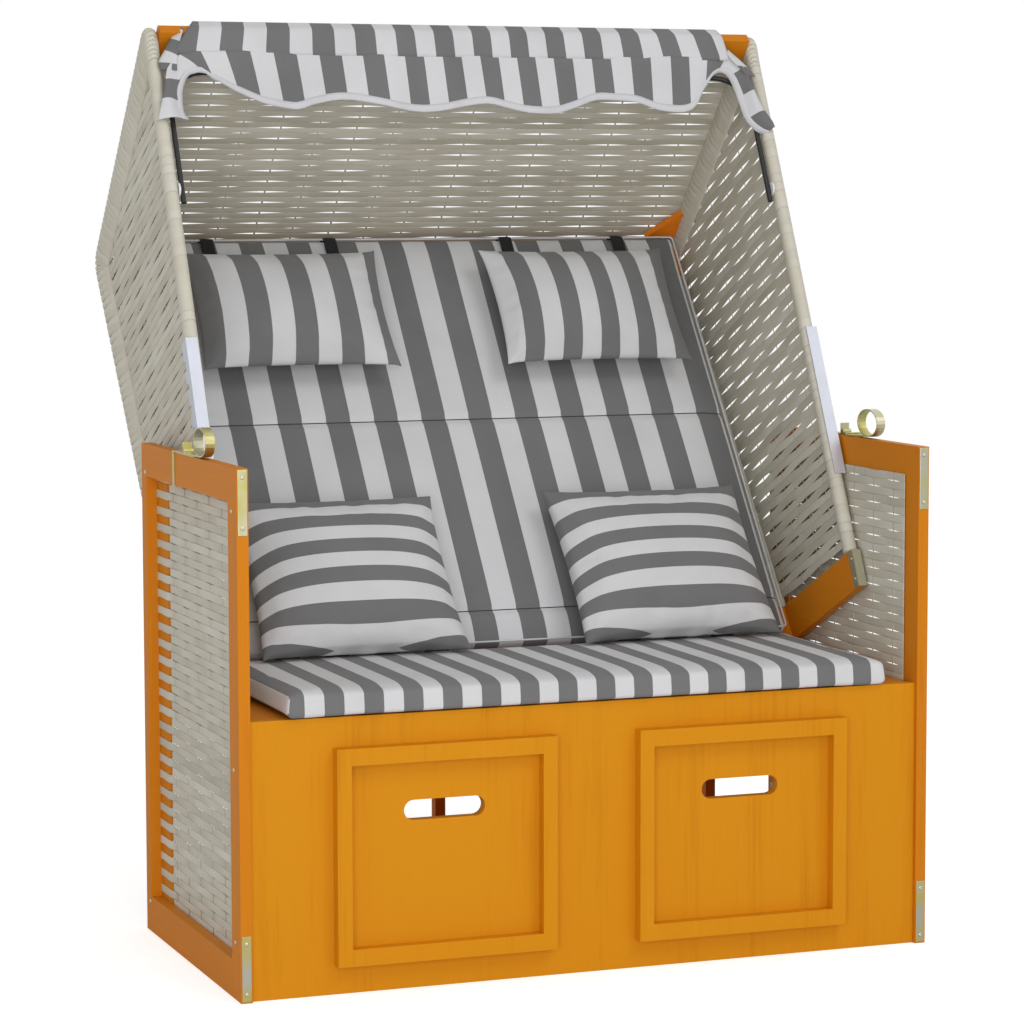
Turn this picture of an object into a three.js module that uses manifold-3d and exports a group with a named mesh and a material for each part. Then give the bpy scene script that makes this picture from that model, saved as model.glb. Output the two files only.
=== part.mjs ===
// A hooded beach chair for two: a wooden base with wicker sides and two pull-out footrests,
// and a wicker hood that tilts on the base and carries the back cushion and a small awning.
// Millimetres, +Z up, the front faces -Y, left is -X. The floor is at height zero.

import * as THREE from 'three';
import Module from 'manifold-3d';
import { mergeVertices } from 'three/addons/utils/BufferGeometryUtils.js';

const wasm = await Module();
wasm.setup();

// Fits and roundness
const fitGap = 0.3;
const slideGap = 1;
const cutOverrun = 5;
const arcSteps = 6;
const rodSides = 8;

// Base, over its side frames
const baseWidth = 1180;
const baseDepth = 578;
const sideHeight = 828;
const sideThick = 18.5;
const frontPostWidth = 50;
const rearPostWidth = 30;
const topRailHeight = 54;
const bottomRailHeight = 60;
const wickerThick = 4.2;
const wickerLap = 6;
const lathWidth = 67;

// Front panel, rear rails, bearers and seat deck
const seatHeight = 436.7;
const panelThick = 18;
const panelRecess = 8;
const rearRailThick = 20;
const rearTopRailHeight = 56;
const rearBottomRailHeight = 60;
const rearRailLift = 20;
const bearerWidth = 44;
const bearerHeight = 37;
const deckThick = 18;
const battenHeight = 30;
const battenDepth = 31;
const rearBattenSetback = 117;

// Footrests
const footrestCentreShare = 0.4305;
const footrestFrameWidth = 366;
const footrestFrameHeight = 343;
const footrestFrameLift = 46;
const footrestFrameProud = 21.5;
const footrestMemberWidth = 24;
const footrestMemberHeight = 27;
const footrestBoardThick = 18;
const footrestLap = 14;
const footrestLength = 492;
const footrestSideThick = 18;
const footrestRunnerHeight = 36;
const footrestRailHeight = 32;
const footrestLegWidth = 20;
const footrestTopThick = 18;
const slotLength = 135;
const slotHeight = 32;
const slotDrop = 106;

// Hood: its pivot on the base, its lean and the outline of a side
const pivotSetback = 125;
const pivotHeight = 481.5;
const hoodTilt = THREE.MathUtils.degToRad(25.8);
const hoodSideClear = 3.5;
const hoodShellThick = 22.5;
const hoodFrontReach = 297;
const hoodFrontHeight = 1031;
const hoodBackReach = 233.6;
const hoodBackHeight = 824;
const hoodFootReach = 29;
const hoodRailHalf = 33;
const hoodFrontRadius = 22;
const hoodBackRadius = 40;
const hoodRailThick = 14.2;
const hoodWeaveThick = 7;
const hoodFrontBand = 34;
const hoodRoofBand = 60;
const hoodBackBand = 42;

// Hood: beams, roof and back
const roofDrop = 20;
const roofThick = 12;
const roofFrontSetback = 5;
const roofRearSetback = 25;
const beamDepth = 75;
const beamThick = 18;
const backDrop = 5;
const backThick = 12;
const backTopSetback = 16;
const supportThick = 20;
const supportHeight = 58;
const supportRise = 12;
const rearBeamThick = 22;
const rearBeamHeight = 38;
const rearBeamClear = 3;
const rearBeamTaper = 9;
const gussetLeg = 60;
const gussetThick = 12;
const gussetSetback = 82;

// Pivot plates and latches
const plateThick = 2.2;
const plateWidth = 60;
const plateClear = 0.7;
const plateEar = 24;
const plateFoot = 30;
const studRadius = 5;
const studClear = 0.5;
const studReach = 17;
const rackThick = 2;
const rackWidth = 26;
const rackFlange = 18;
const rackStart = 171;
const rackLength = 274;
const rackNotchCount = 6;
const rackNotchPitch = 38;
const rackNotchHeight = 14;
const rackNotchDepth = 9;
const latchInset = 13;
const latchWidth = 15.5;
const latchThick = 2;
const latchBarFront = -50;
const latchBarRear = 80;
const latchTabDepth = 12;
const latchTabHeight = 20;
const latchStrapWidth = 7;
const latchStrapDrop = 63;
const latchEyeRadius = 4;
const latchEyeClear = 1.5;
const loopFront = -125;
const loopRear = -50;
const loopHeight = 47.5;
const pawlWidth = 16;
const pawlThick = 4;
const pawlSetback = 30;
const pawlReach = 9.3;

// Awning: the bail that swings on the hood, the cloth and its valance
const bailRadius = 4.5;
const bailSideClear = 7.7;
const bailSetback = 13;
const bailPivotDrop = 314.4;
const bailTail = 24;
const bailTopDrop = 96;
const bailCorner = 65;
const clipRadius = 12;
const clothThick = 3;
const clothRoofReach = 60;
const clothFrontClear = 6;
const clothDrop = 28;
const clothSideClear = 40.7;
const clothSeamGap = 1;
const valanceLength = 90;
const valanceScallop = 15;
const valancePitch = 237;
const valanceLow = 173;
const valanceFold = 8;
const valanceBarPass = 18;

// Cushions and pillows
const seatPadSideClear = 51;
const seatPadThick = 47;
const seatPadOverhang = 8;
const seatPadPivotClear = 72;
const padEdge = 15;
const padCrown = 5;
const padDrawIn = 3;
const backPadSideClear = 22.7;
const backPadThick = 50;
const backPadLength = 845.6;
const backPadStartDepth = -64.2;
const backPadStartHeight = -25;
const backPadLean = THREE.MathUtils.degToRad(11.43);
const backPadSeams = [65, 455];
const seamWidth = 36;
const seamDepth = 9;
const headWidth = 356;
const headHeight = 250;
const headThick = 108;
const headCentreShare = 0.4712;
const headRise = 656;
const lumbarWidth = 365;
const lumbarHeight = 306;
const lumbarThick = 116;
const lumbarCentreShare = 0.4797;
const lumbarPivotClear = 146;
const lumbarSink = 1.8;
const pillowDrawInShare = 0.05;
const pillowFullness = 0.8;
const softGap = 0.6;

// Finishes
const finishes = {
  frontWood: { color: 0xce8c1e, roughness: 0.45, metalness: 0 },
  sideWood: { color: 0xb8732a, roughness: 0.5, metalness: 0 },
  wicker: { color: 0xa8a496, roughness: 0.6, metalness: 0 },
  fabric: { color: 0x8f8f90, roughness: 0.95, metalness: 0 },
  zinc: { color: 0xbeb978, roughness: 0.3, metalness: 1 },
  blackSteel: { color: 0x1e1e1e, roughness: 0.45, metalness: 0.6 },
  plastic: { color: 0xe8e8e6, roughness: 0.4, metalness: 0 },
};

// Sizes that follow from those above
const halfWidth = baseWidth / 2;
const halfDepth = baseDepth / 2;
const pivotDepth = halfDepth - pivotSetback;
const frameInner = halfWidth - sideThick;
const wickerInner = frameInner - fitGap - wickerThick;
const wickerBottom = bottomRailHeight - wickerLap;
const hoodOuter = wickerInner - hoodSideClear;
const panelFront = -halfDepth + panelRecess;
const panelRear = panelFront + panelThick;
const lathRear = halfDepth - rearPostWidth + wickerLap;
const lathFront = lathRear - lathWidth;
const rearRailFront = lathRear + fitGap;
const plateOuter = hoodOuter + plateClear + plateThick;
const bearerOuter = hoodOuter + plateClear - fitGap;
const runnerHeight = wickerBottom;
const hoodInner = hoodOuter - hoodShellThick;
const betweenSides = hoodInner - fitGap;
const bailHalfWidth = betweenSides - bailSideClear;
const bailPivotHeight = hoodFrontHeight - bailPivotDrop;
const bailTopHeight = hoodFrontHeight - bailTopDrop;
const clothHalfWidth = betweenSides - clothSideClear;
const seatPadWidth = 2 * (wickerInner - seatPadSideClear);
const backPadWidth = 2 * (betweenSides - backPadSideClear);
const footrestCentre = halfWidth * footrestCentreShare;
const headCentre = halfWidth * headCentreShare;
const lumbarCentre = halfWidth * lumbarCentreShare;
const lumbarDepth = pivotDepth - lumbarPivotClear;
const seatPadFront = -halfDepth - seatPadOverhang;
const seatPadDepth = pivotDepth - seatPadPivotClear - seatPadFront;
const footrestBenchHalf = footrestFrameWidth / 2 - footrestLap - slideGap;
const footrestFrameTop = footrestFrameLift + footrestFrameHeight;
const footrestBoardRear = panelFront + footrestBoardThick;
const footrestBenchTop = footrestFrameTop - footrestLap - slideGap;
const latchTop = sideHeight + fitGap + latchThick;
const eyeDepth = latchTabDepth - latchEyeClear - latchEyeRadius;
const eyeHeight = latchTop + fitGap + latchEyeRadius;
const seatTop = seatHeight + fitGap + seatPadThick;

const xAxis = new THREE.Vector3(1, 0, 0);
const yAxis = new THREE.Vector3(0, 1, 0);
const zAxis = new THREE.Vector3(0, 0, 1);
const across = new THREE.Matrix4().makeBasis(yAxis, zAxis, xAxis);
const upright = new THREE.Matrix4().makeBasis(xAxis, zAxis, yAxis.clone().negate());

// The node's mesh in its own material.
function piece(name, geometry, finish) {
  const mesh = new THREE.Mesh(geometry, new THREE.MeshStandardMaterial(finishes[finish]));
  mesh.name = name;
  return mesh;
}

// A closed geometry as a solid that can be joined and cut.
function toSolid(geometry) {
  const bare = geometry.clone();
  bare.deleteAttribute('normal');
  bare.deleteAttribute('uv');
  const merged = mergeVertices(bare);
  return new wasm.Manifold(new wasm.Mesh({
    numProp: 3,
    vertProperties: new Float32Array(merged.attributes.position.array),
    triVerts: new Uint32Array(merged.index.array),
  }));
}

function toGeometry(solid) {
  const mesh = solid.getMesh();
  const geometry = new THREE.BufferGeometry();
  geometry.setAttribute('position', new THREE.BufferAttribute(mesh.vertProperties, mesh.numProp));
  geometry.setIndex(new THREE.BufferAttribute(mesh.triVerts, 1));
  geometry.computeVertexNormals();
  return geometry;
}

function joined(...geometries) {
  return toGeometry(geometries.map(toSolid).reduce((whole, next) => whole.add(next)));
}

function cut(geometry, ...tools) {
  return toGeometry(tools.map(toSolid).reduce((whole, next) => whole.subtract(next), toSolid(geometry)));
}

// A plain board between low and high limits along x, y and z.
function board(x, y, z) {
  const geometry = new THREE.BoxGeometry(x[1] - x[0], y[1] - y[0], z[1] - z[0]);
  geometry.translate((x[0] + x[1]) / 2, (y[0] + y[1]) / 2, (z[0] + z[1]) / 2);
  return geometry;
}

// An outline in depth and height, carried across from x[0] to x[1].
function acrossPlate(shape, x) {
  const geometry = new THREE.ExtrudeGeometry(shape, {
    depth: x[1] - x[0],
    bevelEnabled: false,
    curveSegments: arcSteps,
  });
  geometry.applyMatrix4(across);
  geometry.translate(x[0], 0, 0);
  return geometry;
}

// An outline in width and height, carried along the depth from y[0] to y[1].
function uprightPlate(shape, y) {
  const geometry = new THREE.ExtrudeGeometry(shape, {
    depth: y[1] - y[0],
    bevelEnabled: false,
    curveSegments: arcSteps,
  });
  geometry.applyMatrix4(upright);
  geometry.translate(0, y[1], 0);
  return geometry;
}

function outline(points) {
  return new THREE.Shape(points.map(([a, b]) => new THREE.Vector2(a, b)));
}

// A round pin lying across, from x[0] to x[1], centred at a depth and a height.
function pin(radius, x, depth, height) {
  const shape = new THREE.Shape();
  shape.absarc(depth, height, radius, 0, 2 * Math.PI);
  return acrossPlate(shape, x);
}

// The stretch between two distances from the middle, on one side.
function onSide(side, inner, outer) {
  return side > 0 ? [inner, outer] : [-outer, -inner];
}

function sideName(side, name) {
  return `${side > 0 ? 'right' : 'left'}_${name}`;
}

// The corner of an outline at b, rounded to a radius between its neighbours a and c.
function roundedCorner(a, b, c, radius) {
  const corner = new THREE.Vector2(...b);
  const before = new THREE.Vector2(...a).sub(corner).normalize();
  const after = new THREE.Vector2(...c).sub(corner).normalize();
  const half = before.angleTo(after) / 2;
  const reach = radius / Math.tan(half);
  const centre = before.clone().add(after).normalize().multiplyScalar(radius / Math.sin(half)).add(corner);
  const first = before.multiplyScalar(reach).add(corner).sub(centre).angle();
  const last = after.multiplyScalar(reach).add(corner).sub(centre).angle();
  const turn = Math.atan2(Math.sin(last - first), Math.cos(last - first));
  const points = [];
  for (let step = 0; step <= arcSteps; step += 1) {
    const angle = first + (turn * step) / arcSteps;
    points.push([centre.x + radius * Math.cos(angle), centre.y + radius * Math.sin(angle)]);
  }
  return points;
}

// A closed body between two surfaces over the same stations. Walls close its rim, and a
// rim where the surfaces meet needs none.
function shell(us, vs, outer, inner) {
  const positions = [outer, inner].flatMap((face) => vs.flatMap((v) => us.flatMap((u) => face(u, v))));
  const at = (face, row, column) => (face * vs.length + row) * us.length + column;
  const triangles = [];
  const quad = (a, b, c, d) => triangles.push([a, b, c], [a, c, d]);
  const lastRow = vs.length - 1;
  const lastColumn = us.length - 1;
  for (let r = 0; r < lastRow; r += 1) {
    for (let c = 0; c < lastColumn; c += 1) {
      quad(at(0, r, c), at(0, r, c + 1), at(0, r + 1, c + 1), at(0, r + 1, c));
      quad(at(1, r, c), at(1, r + 1, c), at(1, r + 1, c + 1), at(1, r, c + 1));
    }
    quad(at(0, r, 0), at(0, r + 1, 0), at(1, r + 1, 0), at(1, r, 0));
    quad(at(0, r + 1, lastColumn), at(0, r, lastColumn), at(1, r, lastColumn), at(1, r + 1, lastColumn));
  }
  for (let c = 0; c < lastColumn; c += 1) {
    quad(at(0, 0, c + 1), at(0, 0, c), at(1, 0, c), at(1, 0, c + 1));
    quad(at(0, lastRow, c), at(0, lastRow, c + 1), at(1, lastRow, c + 1), at(1, lastRow, c));
  }
  const loose = new THREE.BufferGeometry();
  loose.setAttribute('position', new THREE.Float32BufferAttribute(positions, 3));
  loose.setIndex(triangles.flat());
  return turnedOut(mergeVertices(loose));
}

// The same mesh without folded triangles, and with its faces pointing out.
function turnedOut(geometry) {
  const spots = geometry.attributes.position;
  const corner = (index) => new THREE.Vector3().fromBufferAttribute(spots, index);
  const kept = [];
  let volume = 0;
  for (let i = 0; i < geometry.index.count; i += 3) {
    const [a, b, c] = [0, 1, 2].map((k) => geometry.index.getX(i + k));
    if (a !== b && b !== c && c !== a) {
      kept.push([a, b, c]);
      volume += corner(a).dot(corner(b).cross(corner(c)));
    }
  }
  geometry.setIndex(kept.flatMap(([a, b, c]) => (volume > 0 ? [a, b, c] : [a, c, b])));
  geometry.computeVertexNormals();
  return geometry;
}

// Base

// One side of the base: two posts, two rails, the wicker behind them and its rear lath.
function baseSide(side) {
  const thick = onSide(side, frameInner, halfWidth);
  const woven = onSide(side, wickerInner, wickerInner + wickerThick);
  const railFront = -halfDepth + frontPostWidth + fitGap;
  const railRear = halfDepth - rearPostWidth - fitGap;
  const wovenHeight = [wickerBottom, sideHeight - topRailHeight + wickerLap];
  const postFront = board(thick, [-halfDepth, railFront - fitGap], [0, sideHeight]);
  const postRear = board(thick, [railRear + fitGap, halfDepth], [0, sideHeight]);
  const railTop = board(thick, [railFront, railRear], [sideHeight - topRailHeight, sideHeight]);
  const railBottom = board(thick, [railFront, railRear], [0, bottomRailHeight]);
  const wicker = board(woven, [railFront - wickerLap, lathFront - fitGap], wovenHeight);
  const lath = board(woven, [lathFront, lathRear], wovenHeight);
  return [
    piece(sideName(side, 'front_post'), postFront, 'sideWood'),
    piece(sideName(side, 'rear_post'), postRear, 'sideWood'),
    piece(sideName(side, 'top_rail'), railTop, 'sideWood'),
    piece(sideName(side, 'bottom_rail'), railBottom, 'sideWood'),
    piece(sideName(side, 'side_wicker'), wicker, 'wicker'),
    piece(sideName(side, 'side_lath'), lath, 'sideWood'),
  ];
}

// The front panel, with an opening that each footrest passes through.
function frontPanel() {
  const half = frameInner - fitGap;
  const whole = board([-half, half], [panelFront, panelRear], [0, seatHeight]);
  const openings = [-1, 1].map((side) => {
    const middle = side * footrestCentre;
    const openingHalf = footrestBenchHalf + slideGap;
    return board(
      [middle - openingHalf, middle + openingHalf],
      [panelFront - cutOverrun, panelRear + cutOverrun],
      [runnerHeight - slideGap, footrestBenchTop + slideGap],
    );
  });
  return piece('front_panel', cut(whole, ...openings), 'frontWood');
}

// Rear rails, seat bearers, the deck on them and the battens that the footrests run on.
function underframe() {
  const inside = [-frameInner + fitGap, frameInner - fitGap];
  const railDepth = [rearRailFront, rearRailFront + rearRailThick];
  const topRail = board(inside, railDepth, [seatHeight - rearTopRailHeight, seatHeight]);
  const bottomRail = board(inside, railDepth, [rearRailLift, rearRailLift + rearBottomRailHeight]);
  const deckDepth = [panelRear + fitGap, rearRailFront - fitGap];
  const deck = board([-bearerOuter, bearerOuter], deckDepth, [seatHeight - deckThick, seatHeight]);
  const battenRise = [runnerHeight - fitGap - battenHeight, runnerHeight - fitGap];
  const frontBatten = board(inside, [panelRear + fitGap, panelRear + fitGap + battenDepth], battenRise);
  const rearBattenRear = halfDepth - rearBattenSetback;
  const rearBatten = board(inside, [rearBattenRear - battenDepth, rearBattenRear], battenRise);
  const bearerTop = seatHeight - deckThick - fitGap;
  const bearers = [-1, 1].map((side) => piece(
    sideName(side, 'seat_bearer'),
    board(
      onSide(side, bearerOuter - bearerWidth, bearerOuter),
      deckDepth,
      [bearerTop - bearerHeight, bearerTop],
    ),
    'sideWood',
  ));
  return [
    piece('rear_top_rail', topRail, 'sideWood'),
    piece('rear_bottom_rail', bottomRail, 'sideWood'),
    piece('seat_deck', deck, 'sideWood'),
    piece('front_guide_batten', frontBatten, 'sideWood'),
    piece('rear_guide_batten', rearBatten, 'sideWood'),
    ...bearers,
  ];
}

// The steel plate on a bearer's outer face, with the stud that the hood turns on.
function pivotPlate(side) {
  const foot = seatHeight - deckThick - plateFoot;
  const shape = new THREE.Shape();
  shape.moveTo(pivotDepth - plateWidth / 2, foot);
  shape.lineTo(pivotDepth + plateWidth / 2, foot);
  shape.lineTo(pivotDepth + plateEar, pivotHeight);
  shape.absarc(pivotDepth, pivotHeight, plateEar, 0, Math.PI);
  shape.closePath();
  const plate = acrossPlate(shape, onSide(side, plateOuter - plateThick, plateOuter));
  const stud = pin(studRadius, onSide(side, plateOuter - studReach, plateOuter), pivotDepth, pivotHeight);
  return piece(sideName(side, 'pivot_plate'), joined(plate, stud), 'zinc');
}

// Latches

// The bent bar on a top rail: a flat bar, an upright tab and a strap down the outer face.
function latchBracket(side) {
  const outer = halfWidth - latchInset + latchWidth;
  const wide = onSide(side, halfWidth - latchInset, outer);
  const strapWide = onSide(side, outer - latchThick, outer);
  const low = latchTop - latchThick;
  const bar = board(wide, [latchBarFront, latchBarRear], [low, latchTop]);
  const tab = board(wide, [latchTabDepth, latchTabDepth + latchThick], [low, low + latchTabHeight]);
  const strapDepth = [latchBarRear - latchStrapWidth, latchBarRear];
  const strap = board(strapWide, strapDepth, [low - latchStrapDrop, latchTop]);
  return piece(sideName(side, 'latch_bracket'), joined(bar, tab, strap), 'zinc');
}

// The lever: a flat arm with a hinge eye, a finger loop and a pawl that reaches over the rail.
function latchLever(side) {
  const wide = onSide(side, halfWidth - latchInset, halfWidth - latchInset + latchWidth);
  const low = latchTop + fitGap;
  const loopMiddle = (loopFront + loopRear) / 2;
  const loopLong = (loopRear - loopFront) / 2;
  const loopHigh = loopHeight / 2;
  const loopShape = new THREE.Shape();
  loopShape.absellipse(loopMiddle, low + loopHigh, loopLong, loopHigh, 0, 2 * Math.PI);
  const hole = new THREE.Path();
  hole.absellipse(loopMiddle, low + loopHigh, loopLong - latchThick, loopHigh - latchThick, 0, 2 * Math.PI);
  loopShape.holes.push(hole);
  const loop = new THREE.ExtrudeGeometry(loopShape, {
    depth: latchWidth,
    bevelEnabled: false,
    curveSegments: 2 * arcSteps,
  });
  loop.applyMatrix4(across);
  loop.translate(wide[0], 0, 0);
  const arm = board(wide, [loopMiddle, eyeDepth], [low, low + latchThick]);
  const eye = pin(latchEyeRadius, wide, eyeDepth, eyeHeight);
  const pawlInner = halfWidth - latchInset - pawlReach;
  const pawlDepth = eyeDepth - pawlSetback;
  const pawl = board(
    onSide(side, pawlInner, halfWidth - latchInset + latchWidth),
    [pawlDepth - pawlWidth, pawlDepth],
    [low, low + pawlThick],
  );
  return piece(sideName(side, 'latch_lever'), joined(arm, loop, eye, pawl), 'zinc');
}

// Footrests

// The front: a raised frame, the board behind it and the finger slot through the board.
function footrestFront(side) {
  const middle = side * footrestCentre;
  const half = footrestFrameWidth / 2;
  const low = footrestFrameLift;
  const faceFront = panelFront - fitGap - footrestFrameProud;
  const ring = cut(
    board([middle - half, middle + half], [faceFront, panelFront - fitGap], [low, footrestFrameTop]),
    board(
      [middle - half + footrestMemberWidth, middle + half - footrestMemberWidth],
      [faceFront - cutOverrun, panelFront + cutOverrun],
      [low + footrestMemberHeight, footrestFrameTop - footrestMemberHeight],
    ),
  );
  const field = board(
    [middle - footrestBenchHalf, middle + footrestBenchHalf],
    [panelFront - fitGap - slideGap, footrestBoardRear],
    [runnerHeight, footrestBenchTop],
  );
  const slotShape = new THREE.Shape();
  const slotMiddle = footrestFrameTop - slotDrop;
  const slotRadius = slotHeight / 2;
  const slotHalf = slotLength / 2 - slotRadius;
  slotShape.absarc(middle - slotHalf, slotMiddle, slotRadius, Math.PI / 2, (3 * Math.PI) / 2);
  slotShape.absarc(middle + slotHalf, slotMiddle, slotRadius, -Math.PI / 2, Math.PI / 2);
  slotShape.closePath();
  const slot = uprightPlate(slotShape, [faceFront - cutOverrun, footrestBoardRear + cutOverrun]);
  return piece(sideName(side, 'footrest_front'), cut(joined(ring, field), slot), 'frontWood');
}

// The bench behind the front: a top board on two side frames, each open in its middle.
function footrestBench(side) {
  const middle = side * footrestCentre;
  const front = footrestBoardRear + fitGap;
  const rear = front + footrestLength - footrestBoardThick;
  const benchTop = footrestBenchTop;
  const railTop = benchTop - footrestTopThick - fitGap;
  const top = board(
    [middle - footrestBenchHalf, middle + footrestBenchHalf],
    [front, rear],
    [benchTop - footrestTopThick, benchTop],
  );
  const frame = outline([
    [front, runnerHeight],
    [rear, runnerHeight],
    [rear, railTop],
    [front, railTop],
    [front, railTop - footrestRailHeight],
    [rear - footrestLegWidth, railTop - footrestRailHeight],
    [rear - footrestLegWidth, runnerHeight + footrestRunnerHeight],
    [front, runnerHeight + footrestRunnerHeight],
  ]);
  const frames = [-1, 1].map((flank) => {
    const place = flank === side ? 'outer' : 'inner';
    const [low, high] = onSide(flank, footrestBenchHalf - footrestSideThick, footrestBenchHalf);
    const name = sideName(side, `footrest_${place}_frame`);
    return piece(name, acrossPlate(frame, [middle + low, middle + high]), 'sideWood');
  });
  return [piece(sideName(side, 'footrest_top'), top, 'sideWood'), ...frames];
}

// Hood, drawn upright about its pivot: depth, then height

const hoodFrontTop = new THREE.Vector2(-hoodFrontReach, hoodFrontHeight);
const hoodBackTop = new THREE.Vector2(hoodBackReach, hoodBackHeight);
const hoodFoot = new THREE.Vector2(hoodFootReach, -hoodRailHalf);
const roofAlong = hoodBackTop.clone().sub(hoodFrontTop);
const roofLength = roofAlong.length();
roofAlong.normalize();
const roofInward = new THREE.Vector2(roofAlong.y, -roofAlong.x);
const backAlong = hoodBackTop.clone().sub(hoodFoot);
const backLength = backAlong.length();
backAlong.normalize();
const backInward = new THREE.Vector2(-backAlong.y, backAlong.x);

// A point so far along the roof line from its front, and so far in below it.
function onRoof(along, inward) {
  const point = hoodFrontTop.clone().addScaledVector(roofAlong, along).addScaledVector(roofInward, inward);
  return [point.x, point.y];
}

// A point so far up the back line from the hood's foot, and so far in from it.
function onBack(along, inward) {
  const point = hoodFoot.clone().addScaledVector(backAlong, along).addScaledVector(backInward, inward);
  return [point.x, point.y];
}

// The depth of the back line at a height.
function backDepth(height) {
  return hoodFootReach + ((height + hoodRailHalf) * backAlong.x) / backAlong.y;
}

// A wrapped side of the hood: a thick band round its front, roof and back edges, and a
// thinner woven field between them.
function hoodSide(side) {
  const low = hoodRailHalf + fitGap;
  const corners = [
    [-hoodFrontReach, low],
    [-hoodFrontReach, hoodFrontHeight],
    [hoodBackReach, hoodBackHeight],
    [backDepth(low), low],
  ];
  const edge = [
    corners[0],
    ...roundedCorner(corners[0], corners[1], corners[2], hoodFrontRadius),
    ...roundedCorner(corners[1], corners[2], corners[3], hoodBackRadius),
    corners[3],
  ];
  const innerFront = -hoodFrontReach + hoodFrontBand;
  const backBandDepth = hoodBackBand / backAlong.y;
  const fieldCut = (x) => {
    const run = roofAlong.y / roofAlong.x;
    const underBand = hoodFrontHeight - hoodRoofBand / roofAlong.x;
    const roofHeight = (depth) => underBand + (depth + hoodFrontReach) * run;
    const rise = backAlong.x / backAlong.y;
    const backFoot = backDepth(low - cutOverrun) - backBandDepth;
    const rearDepth = (backFoot + (roofHeight(0) - low + cutOverrun) * rise) / (1 - run * rise);
    return acrossPlate(outline([
      [innerFront, low - cutOverrun],
      [innerFront, roofHeight(innerFront)],
      [rearDepth, roofHeight(rearDepth)],
      [backFoot, low - cutOverrun],
    ]), x);
  };
  const recess = (hoodShellThick - hoodWeaveThick) / 2;
  const whole = acrossPlate(outline(edge), onSide(side, hoodInner, hoodOuter));
  const inside = fieldCut(onSide(side, hoodInner - cutOverrun, hoodInner + recess));
  const outside = fieldCut(onSide(side, hoodOuter - recess, hoodOuter + cutOverrun));
  return piece(sideName(side, 'hood_side'), cut(whole, inside, outside), 'wicker');
}

// The bare wooden rail along the foot of a hood side, bored for the pivot stud.
function hoodRail(side) {
  const x = onSide(side, hoodOuter - fitGap - hoodRailThick, hoodOuter - fitGap);
  const bar = acrossPlate(outline([
    [-hoodFrontReach, -hoodRailHalf],
    [hoodFootReach, -hoodRailHalf],
    [backDepth(hoodRailHalf), hoodRailHalf],
    [-hoodFrontReach, hoodRailHalf],
  ]), x);
  const bore = pin(studRadius + studClear, [x[0] - cutOverrun, x[1] + cutOverrun], 0, 0);
  return piece(sideName(side, 'hood_rail'), cut(bar, bore), 'sideWood');
}

// Beams between the hood's sides, with the woven roof and back on them.
function hoodCross() {
  const x = [-betweenSides, betweenSides];
  const slab = (name, points, finish) => piece(name, acrossPlate(outline(points), x), finish);
  const beamTop = roofDrop + fitGap;
  const roofRear = roofLength - roofRearSetback;
  const backStart = (2 * hoodRailHalf + fitGap) / backAlong.y;
  const backEnd = backLength - backTopSetback;
  const backInner = backDrop + backThick;
  const beamRear = roofRear - rearBeamClear;
  const rearFace = onBack(backEnd - rearBeamClear, backInner + rearBeamClear);
  const rearTop = onRoof(beamRear, roofDrop + rearBeamClear)[1] - rearBeamClear;
  return [
    slab('hood_front_beam', [
      onRoof(0, beamTop),
      onRoof(0, beamTop + beamThick),
      onRoof(beamDepth, beamTop + beamThick),
      onRoof(beamDepth, beamTop),
    ], 'sideWood'),
    slab('hood_roof', [
      onRoof(roofFrontSetback, roofDrop - roofThick),
      onRoof(roofFrontSetback, roofDrop),
      onRoof(roofRear, roofDrop),
      onRoof(roofRear, roofDrop - roofThick),
    ], 'wicker'),
    slab('hood_back', [
      onBack(backStart, backDrop),
      onBack(backEnd, backDrop),
      onBack(backEnd, backInner),
      onBack(backStart, backInner),
    ], 'wicker'),
    slab('hood_rear_beam', [
      [rearFace[0] - rearBeamClear - rearBeamThick, rearTop - rearBeamHeight],
      [rearFace[0] - rearBeamClear - rearBeamTaper, rearTop - rearBeamHeight],
      [rearFace[0] - rearBeamClear, rearTop],
      [rearFace[0] - rearBeamClear - rearBeamThick, rearTop],
    ], 'sideWood'),
  ];
}

// The low beam between the bare rails, close behind the back cushion.
function hoodFootBeam() {
  const end = hoodOuter - hoodRailThick - 2 * fitGap;
  const lean = Math.tan(backPadLean);
  const foot = backPadStartDepth + (backPadThick + softGap) / Math.cos(backPadLean);
  const faceDepth = (height) => foot + (height - backPadStartHeight) * lean;
  const shape = outline([
    [faceDepth(-hoodRailHalf), -hoodRailHalf],
    [faceDepth(-hoodRailHalf) + supportThick, -hoodRailHalf],
    [faceDepth(hoodRailHalf) + supportThick, hoodRailHalf],
    [faceDepth(hoodRailHalf), hoodRailHalf],
  ]);
  return piece('hood_foot_beam', acrossPlate(shape, [-end, end]), 'sideWood');
}

// A three-cornered brace under the roof, in the angle between a side and the rear.
function gusset(side) {
  const rear = roofLength - gussetSetback;
  const low = roofDrop + fitGap;
  const shape = outline([
    [side * betweenSides, rear - gussetLeg],
    [side * betweenSides, rear],
    [side * (betweenSides - gussetLeg), rear],
  ]);
  const geometry = new THREE.ExtrudeGeometry(shape, { depth: gussetThick, bevelEnabled: false });
  const along = new THREE.Vector3(0, roofAlong.x, roofAlong.y);
  const outward = new THREE.Vector3(0, -roofInward.x, -roofInward.y);
  geometry.applyMatrix4(new THREE.Matrix4().makeBasis(xAxis, along, outward));
  const [depth, height] = onRoof(0, low + gussetThick);
  geometry.translate(0, depth, height);
  return piece(sideName(side, 'hood_gusset'), geometry, 'sideWood');
}

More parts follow.
